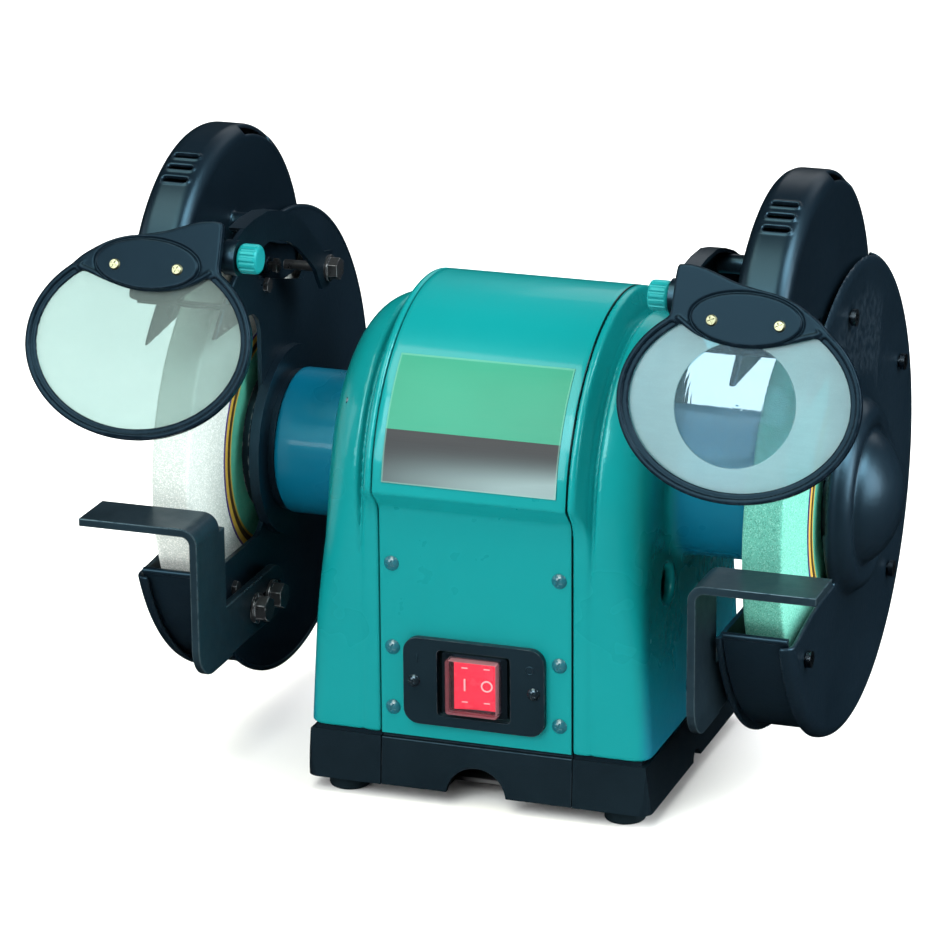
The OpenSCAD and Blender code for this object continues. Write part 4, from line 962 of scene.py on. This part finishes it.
def frame_shape(x, v, n):
    """Shield frame: oval rim with a stepped bevel, the lobe with its oval pad, and the pivot ear."""
    cx, cv, a, b = SHIELD
    oval = ellipse2(x, v, cx, cv, a, b)
    lobe = lobe2(x, v)
    plate2 = smin(oval, lobe, 4)
    opening = smax(oval + 5.2, -lobe, 1.5)
    d = smax(slab(plate2, n, 0, 4.4, 0.9), -opening, 1.0)
    step = np.maximum(smax(oval + 2.5, -lobe + 1.4, 1.2), 3.2 - n)
    d = smax(d, -step, 0.5)
    lip = np.maximum(np.abs(lobe + 1.3) - 0.75, np.maximum(np.abs(n - 4.4) - 0.55, oval + 2.0))
    d = smin(d, lip, 0.8)
    pad = ellipse2(x, v, cx, -8.6, 25.5, 11.6)
    d = smin(d, slab(pad, n, 3, 5.3, 0.7), 0.4)
    d = smax(d, -np.maximum(np.abs(pad - 0.55) - 0.45, 3.9 - n), 0.4)
    d = np.maximum(d, -np.maximum(oval + 3.6, n - 1.8))
    r = np.sqrt(v * v + (n + FORWARD) ** 2)
    ear = np.minimum(slab(r - 7.3, x, 110.8, 113.8, 0.5), box2(v, n, 0, -4, 6.6, 6.4, 0.5) + 0 * x)
    ear = np.maximum(ear, np.abs(x - 112.3) - 1.5)
    d = smin(d, ear, 1.6)
    return np.maximum(d, 2.6 - r)


# ------------------------------------------------------------------ wheels
WHEEL_STEPS = 288
CHIP_DEPTH = 0.16


def wheel_skin(side):
    """Grinding wheel with soft, lightly chipped rims."""
    lo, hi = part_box(side + "_wheel")
    x0, x1 = sorted((abs(lo.x) / MM, abs(hi.x) / MM))
    r = (hi.z - lo.z) / 2 / MM
    c = 1.1
    face = [8.1, 20, 34, 48, 60, 74, 88, 97, r - 2.6]
    profile = [(x0, q) for q in face]
    profile += [(x0 + 0.08, r - c), (x0 + 0.45, r - 0.4), (x0 + c, r - 0.05)]
    profile += [(x, r) for x in np.linspace(x0 + 2.5, x1 - 2.5, 6)]
    profile += [(x1 - c, r - 0.05), (x1 - 0.45, r - 0.4), (x1 - 0.08, r - c)]
    profile += [(x1, q) for q in reversed(face)]
    rng = np.random.default_rng(11 if side == "left" else 12)
    chips = rng.normal(0, 1, (len(profile), WHEEL_STEPS))
    for _ in range(2):
        chips = (np.roll(chips, 1, 1) + chips + np.roll(chips, -1, 1)) / 3
    rim = np.array([q > r - 3 for _, q in profile])

    def wobble(i, a):
        """How far profile point i is chipped in at angle a."""
        k = int(round(a / (2 * math.pi) * WHEEL_STEPS)) % WHEEL_STEPS
        return -abs(chips[i, k]) * CHIP_DEPTH if rim[i] else 0.0

    verts, faces = lathe(profile, WHEEL_STEPS, wobble)
    s = SIDES[side]
    verts = [(s * x, y, z) for x, y, z in verts]
    if s < 0:
        faces = [f[::-1] for f in faces]
    obj = mesh_object(side + "_wheel_skin", place(verts), [f[::-1] for f in faces],
                      [1.0 if q else 0.0 for q in rim] * WHEEL_STEPS)
    obj.data.set_sharp_from_angle(angle=math.radians(40))
    return take(obj, side + "_wheel")


# ------------------------------------------------------------------ switch marks
def rounded_bar(bm, centre, size):
    """A small bar with softened edges."""
    made = bmesh.ops.create_cube(bm, size=1.0)["verts"]
    for v in made:
        v.co = Vector(centre) + Vector((v.co.x * size[0], v.co.y * size[1], v.co.z * size[2]))
    edges = list({e for v in made for e in v.link_edges})
    bmesh.ops.bevel(bm, geom=edges, offset=min(size) * 0.3, segments=2, profile=0.5, affect="EDGES")


def ring_mark(bm, centre, radius, thick, segments=36, tube=8):
    """A raised ring."""
    rows = []
    for i in range(segments):
        a = 2 * math.pi * i / segments
        row = []
        for j in range(tube):
            b = 2 * math.pi * j / tube
            q = radius + thick * math.cos(b)
            x, z = centre[0] + q * math.cos(a), centre[2] + q * math.sin(a)
            row.append(bm.verts.new((x, centre[1] + thick * 0.6 * math.sin(b), z)))
        rows.append(row)
    for i in range(segments):
        near, far = rows[i], rows[(i + 1) % segments]
        for j in range(tube):
            k = (j + 1) % tube
            bm.faces.new((near[j], far[j], far[k], near[k]))


def mark_piece(name, parts, body, slot, turn=None):
    """Raised bars and rings in one piece that rides on a body."""
    bm = bmesh.new()
    for kind, centre, size in parts:
        if kind == "bar":
            rounded_bar(bm, centre, size)
        else:
            ring_mark(bm, centre, *size)
    bmesh.ops.recalc_face_normals(bm, faces=bm.faces)
    mesh = bpy.data.meshes.new(name)
    bm.to_mesh(mesh)
    bm.free()
    if turn:
        mesh.transform(turn)
    mesh.transform(Matrix.Diagonal((MM, MM, MM, 1)))
    mesh.transform(Matrix.Translation(AXIS))
    mesh.polygons.foreach_set("use_smooth", [True] * len(mesh.polygons))
    obj = bpy.data.objects.new(name, mesh)
    scene.collection.objects.link(obj)
    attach(obj, body)
    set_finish(obj, slot)
    return obj


# ------------------------------------------------------------------ build the pieces
drum_skin()
moulded("end_housing", housing, (47.2, -93, -118), (120.8, 93, 93), 1.2)
moulded("spark_hood", hood, (106.5, -125, 74), (159.3, 49, 167), 0.9)
moulded("guard_cover", cover, (154.4, -118, -118), (187.6, 118, 118), 0.95)
moulded("shield_frame", frame_shape, (86, -92.5, -19), (200.8, 15.5, 6.6), 0.62, off_plane)
for side_name in SIDES:
    wheel_skin(side_name)

SOFT_EDGES = {
    "base_left": 1.0, "base_centre": 0.6, "base_right": 1.0, "rubber_feet": 0.0, "cable_gland": 0.5,
    "switch_bezel": 0.7, "switch_body": 0.35, "switch_cover": 0.35, "switch_rocker": 0.4,
    "panel_screws": 0.12,
    "bezel_screws": 0.12, "inner_flanges": 0.5, "outer_flanges": 0.5, "left_spindle_nut": 0.4,
    "right_spindle_nut": 0.4, "guard_cover_screws": 0.15, "rest_bolts": 0.35, "bracket_bolts": 0.3,
    "deflector_screws": 0.3, "wheel_blotters": 0.0,
}
for side_name in SIDES:
    SOFT_EDGES.update({
        side_name + "_guard_back": 0.6, side_name + "_guard_band": 0.3, side_name + "_deflector": 0.3,
        side_name + "_tool_rest": 0.7, side_name + "_shield_bracket": 0.5, side_name + "_shield_screws": 0.12,
        side_name + "_knob": 0.2,
    })
for node_name, width in SOFT_EDGES.items():
    crafted(node_name, width)

tilt = Matrix.Rotation(math.radians(5), 4, "Z")
pin = Matrix.Translation((0, -76.5, -86))
marks = [("bar", (-5.4, -5.35, 0), (0.9, 0.5, 6.2)), ("ring", (5.4, -5.35, 0), (2.5, 0.42))]
marks += [("bar", (x, -5.35, z), (3.0, 0.4, 0.5)) for x in (-5.4, 5.4) for z in (8.6, -8.6)]
mark_piece("rocker_marks", marks, "rocker", "clear_cover", pin @ tilt)
mark_piece("bezel_marks", [("bar", (-28.2, -83.9, -74.5), (0.9, 0.5, 4.2)),
                           ("ring", (28.2, -83.9, -74.5), (1.9, 0.4))],
           "frame", "bezel_plastic")

for obj in list(scene.objects):
    if obj.type != "MESH":
        continue
    node = obj.get("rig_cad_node")
    slot = SLOT_OF[node] if node else obj.get("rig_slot")
    dress(obj, slot or "bezel_plastic")
dress(scene.objects["rocker_marks"], "bezel_plastic").data.materials[0] = coated(
    "mark_white", (0.85, 0.82, 0.80), 0.4, 0.05, 200, 0.05, grain=(2500, 1e-5))
for name in ("left_shield_window", "right_shield_window", "magnifier_lens", "front_label"):
    mesh = frame["nodes"][name].data
    mesh.polygons.foreach_set("use_smooth", [True] * len(mesh.polygons))
    mesh.set_sharp_from_angle(angle=math.radians(30))

# ------------------------------------------------------------------ floor, light and camera
FLOOR_HALF = 9.0
bm = bmesh.new()
bmesh.ops.create_grid(bm, x_segments=12, y_segments=12, size=FLOOR_HALF)
floor_mesh = bpy.data.meshes.new("floor")
bm.to_mesh(floor_mesh)
bm.free()
floor = bpy.data.objects.new("floor", floor_mesh)
scene.collection.objects.link(floor)
floor.visible_glossy = False
paper = Graph("floor_paper")
paper.set(Base_Color=paper.blend(paper.noise(3, 2), (0.86, 0.86, 0.86), (0.88, 0.88, 0.88)), Roughness=0.85,
          Specular_IOR_Level=0.2)
floor_mesh.materials.append(paper.mat)

world = bpy.data.worlds.new("studio")
scene.world = world
world.use_nodes = True
world.node_tree.nodes["Background"].inputs[0].default_value = (0.94, 0.97, 1.0, 1)
world.node_tree.nodes["Background"].inputs[1].default_value = 0.18


def softbox(name, where, target, size, power, tint=(1, 1, 1)):
    """A rectangular studio light at where, facing target."""
    light = bpy.data.lights.new(name, "AREA")
    light.shape = "RECTANGLE"
    light.size, light.size_y = size
    light.energy = power
    light.color = tint
    obj = bpy.data.objects.new(name, light)
    obj.location = where
    obj.rotation_euler = (Vector(target) - Vector(where)).to_track_quat("-Z", "Y").to_euler()
    scene.collection.objects.link(obj)
    return obj


middle = (0, 0, 0.15)
softbox("front_box", (-1.2, -2.7, 1.1), middle, (2.4, 1.0), 48)
softbox("high_front_box", (-0.2, -2.1, 1.8), middle, (1.7, 1.0), 60, (0.95, 1.0, 0.98))
softbox("top_box", (-0.6, -1.0, 2.3), middle, (2.0, 1.2), 48, (1.0, 1.0, 0.82))
softbox("upper_right_box", (1.5, -0.25, 1.7), middle, (1.1, 1.1), 66, (0.92, 1.0, 1.0))
softbox("right_box", (2.3, 0.05, 0.75), middle, (1.2, 1.1), 48)
softbox("left_box", (-2.4, -0.6, 1.0), middle, (1.0, 1.4), 12)
softbox("back_box", (0.3, 2.6, 1.7), middle, (2.6, 1.2), 9)
backdrop = softbox("far_floor_box", (0.2, 3.4, 3.0), (0.2, 3.2, 0), (5.0, 3.0), 260)
backdrop.visible_glossy = False
scene.world.cycles_visibility.glossy = False

# The camera looks from the front left and a little above. It is set by its turn, height and roll, its
# distance from a point near the shaft's middle, and how far it is shifted to its right and up.
AZ, EL, ROLL = math.radians(19.366), math.radians(18.274), math.radians(-0.428)
AWAY, SHIFT_RIGHT, SHIFT_UP = 2.189, -0.0301, -0.0154
AIM = Vector((0, 0.0083, 0.0084))
back = Vector((math.sin(AZ) * math.cos(EL), -math.cos(AZ) * math.cos(EL), math.sin(EL)))
right0 = Vector((math.cos(AZ), math.sin(AZ), 0))
up0 = back.cross(right0)
right = math.cos(ROLL) * right0 + math.sin(ROLL) * up0
up = -math.sin(ROLL) * right0 + math.cos(ROLL) * up0
camera_data = bpy.data.cameras.new("camera")
camera_data.sensor_width = 36
camera_data.lens = 171.84
camera_data.clip_end = 50
camera = bpy.data.objects.new("camera", camera_data)
spot = back * AWAY + right * SHIFT_RIGHT + up * SHIFT_UP + AIM + AXIS
camera.matrix_world = Matrix.Translation(spot) @ Matrix((right, up, back)).transposed().to_4x4()
scene.collection.objects.link(camera)
scene.camera = camera
scene.view_settings.view_transform = "Standard"
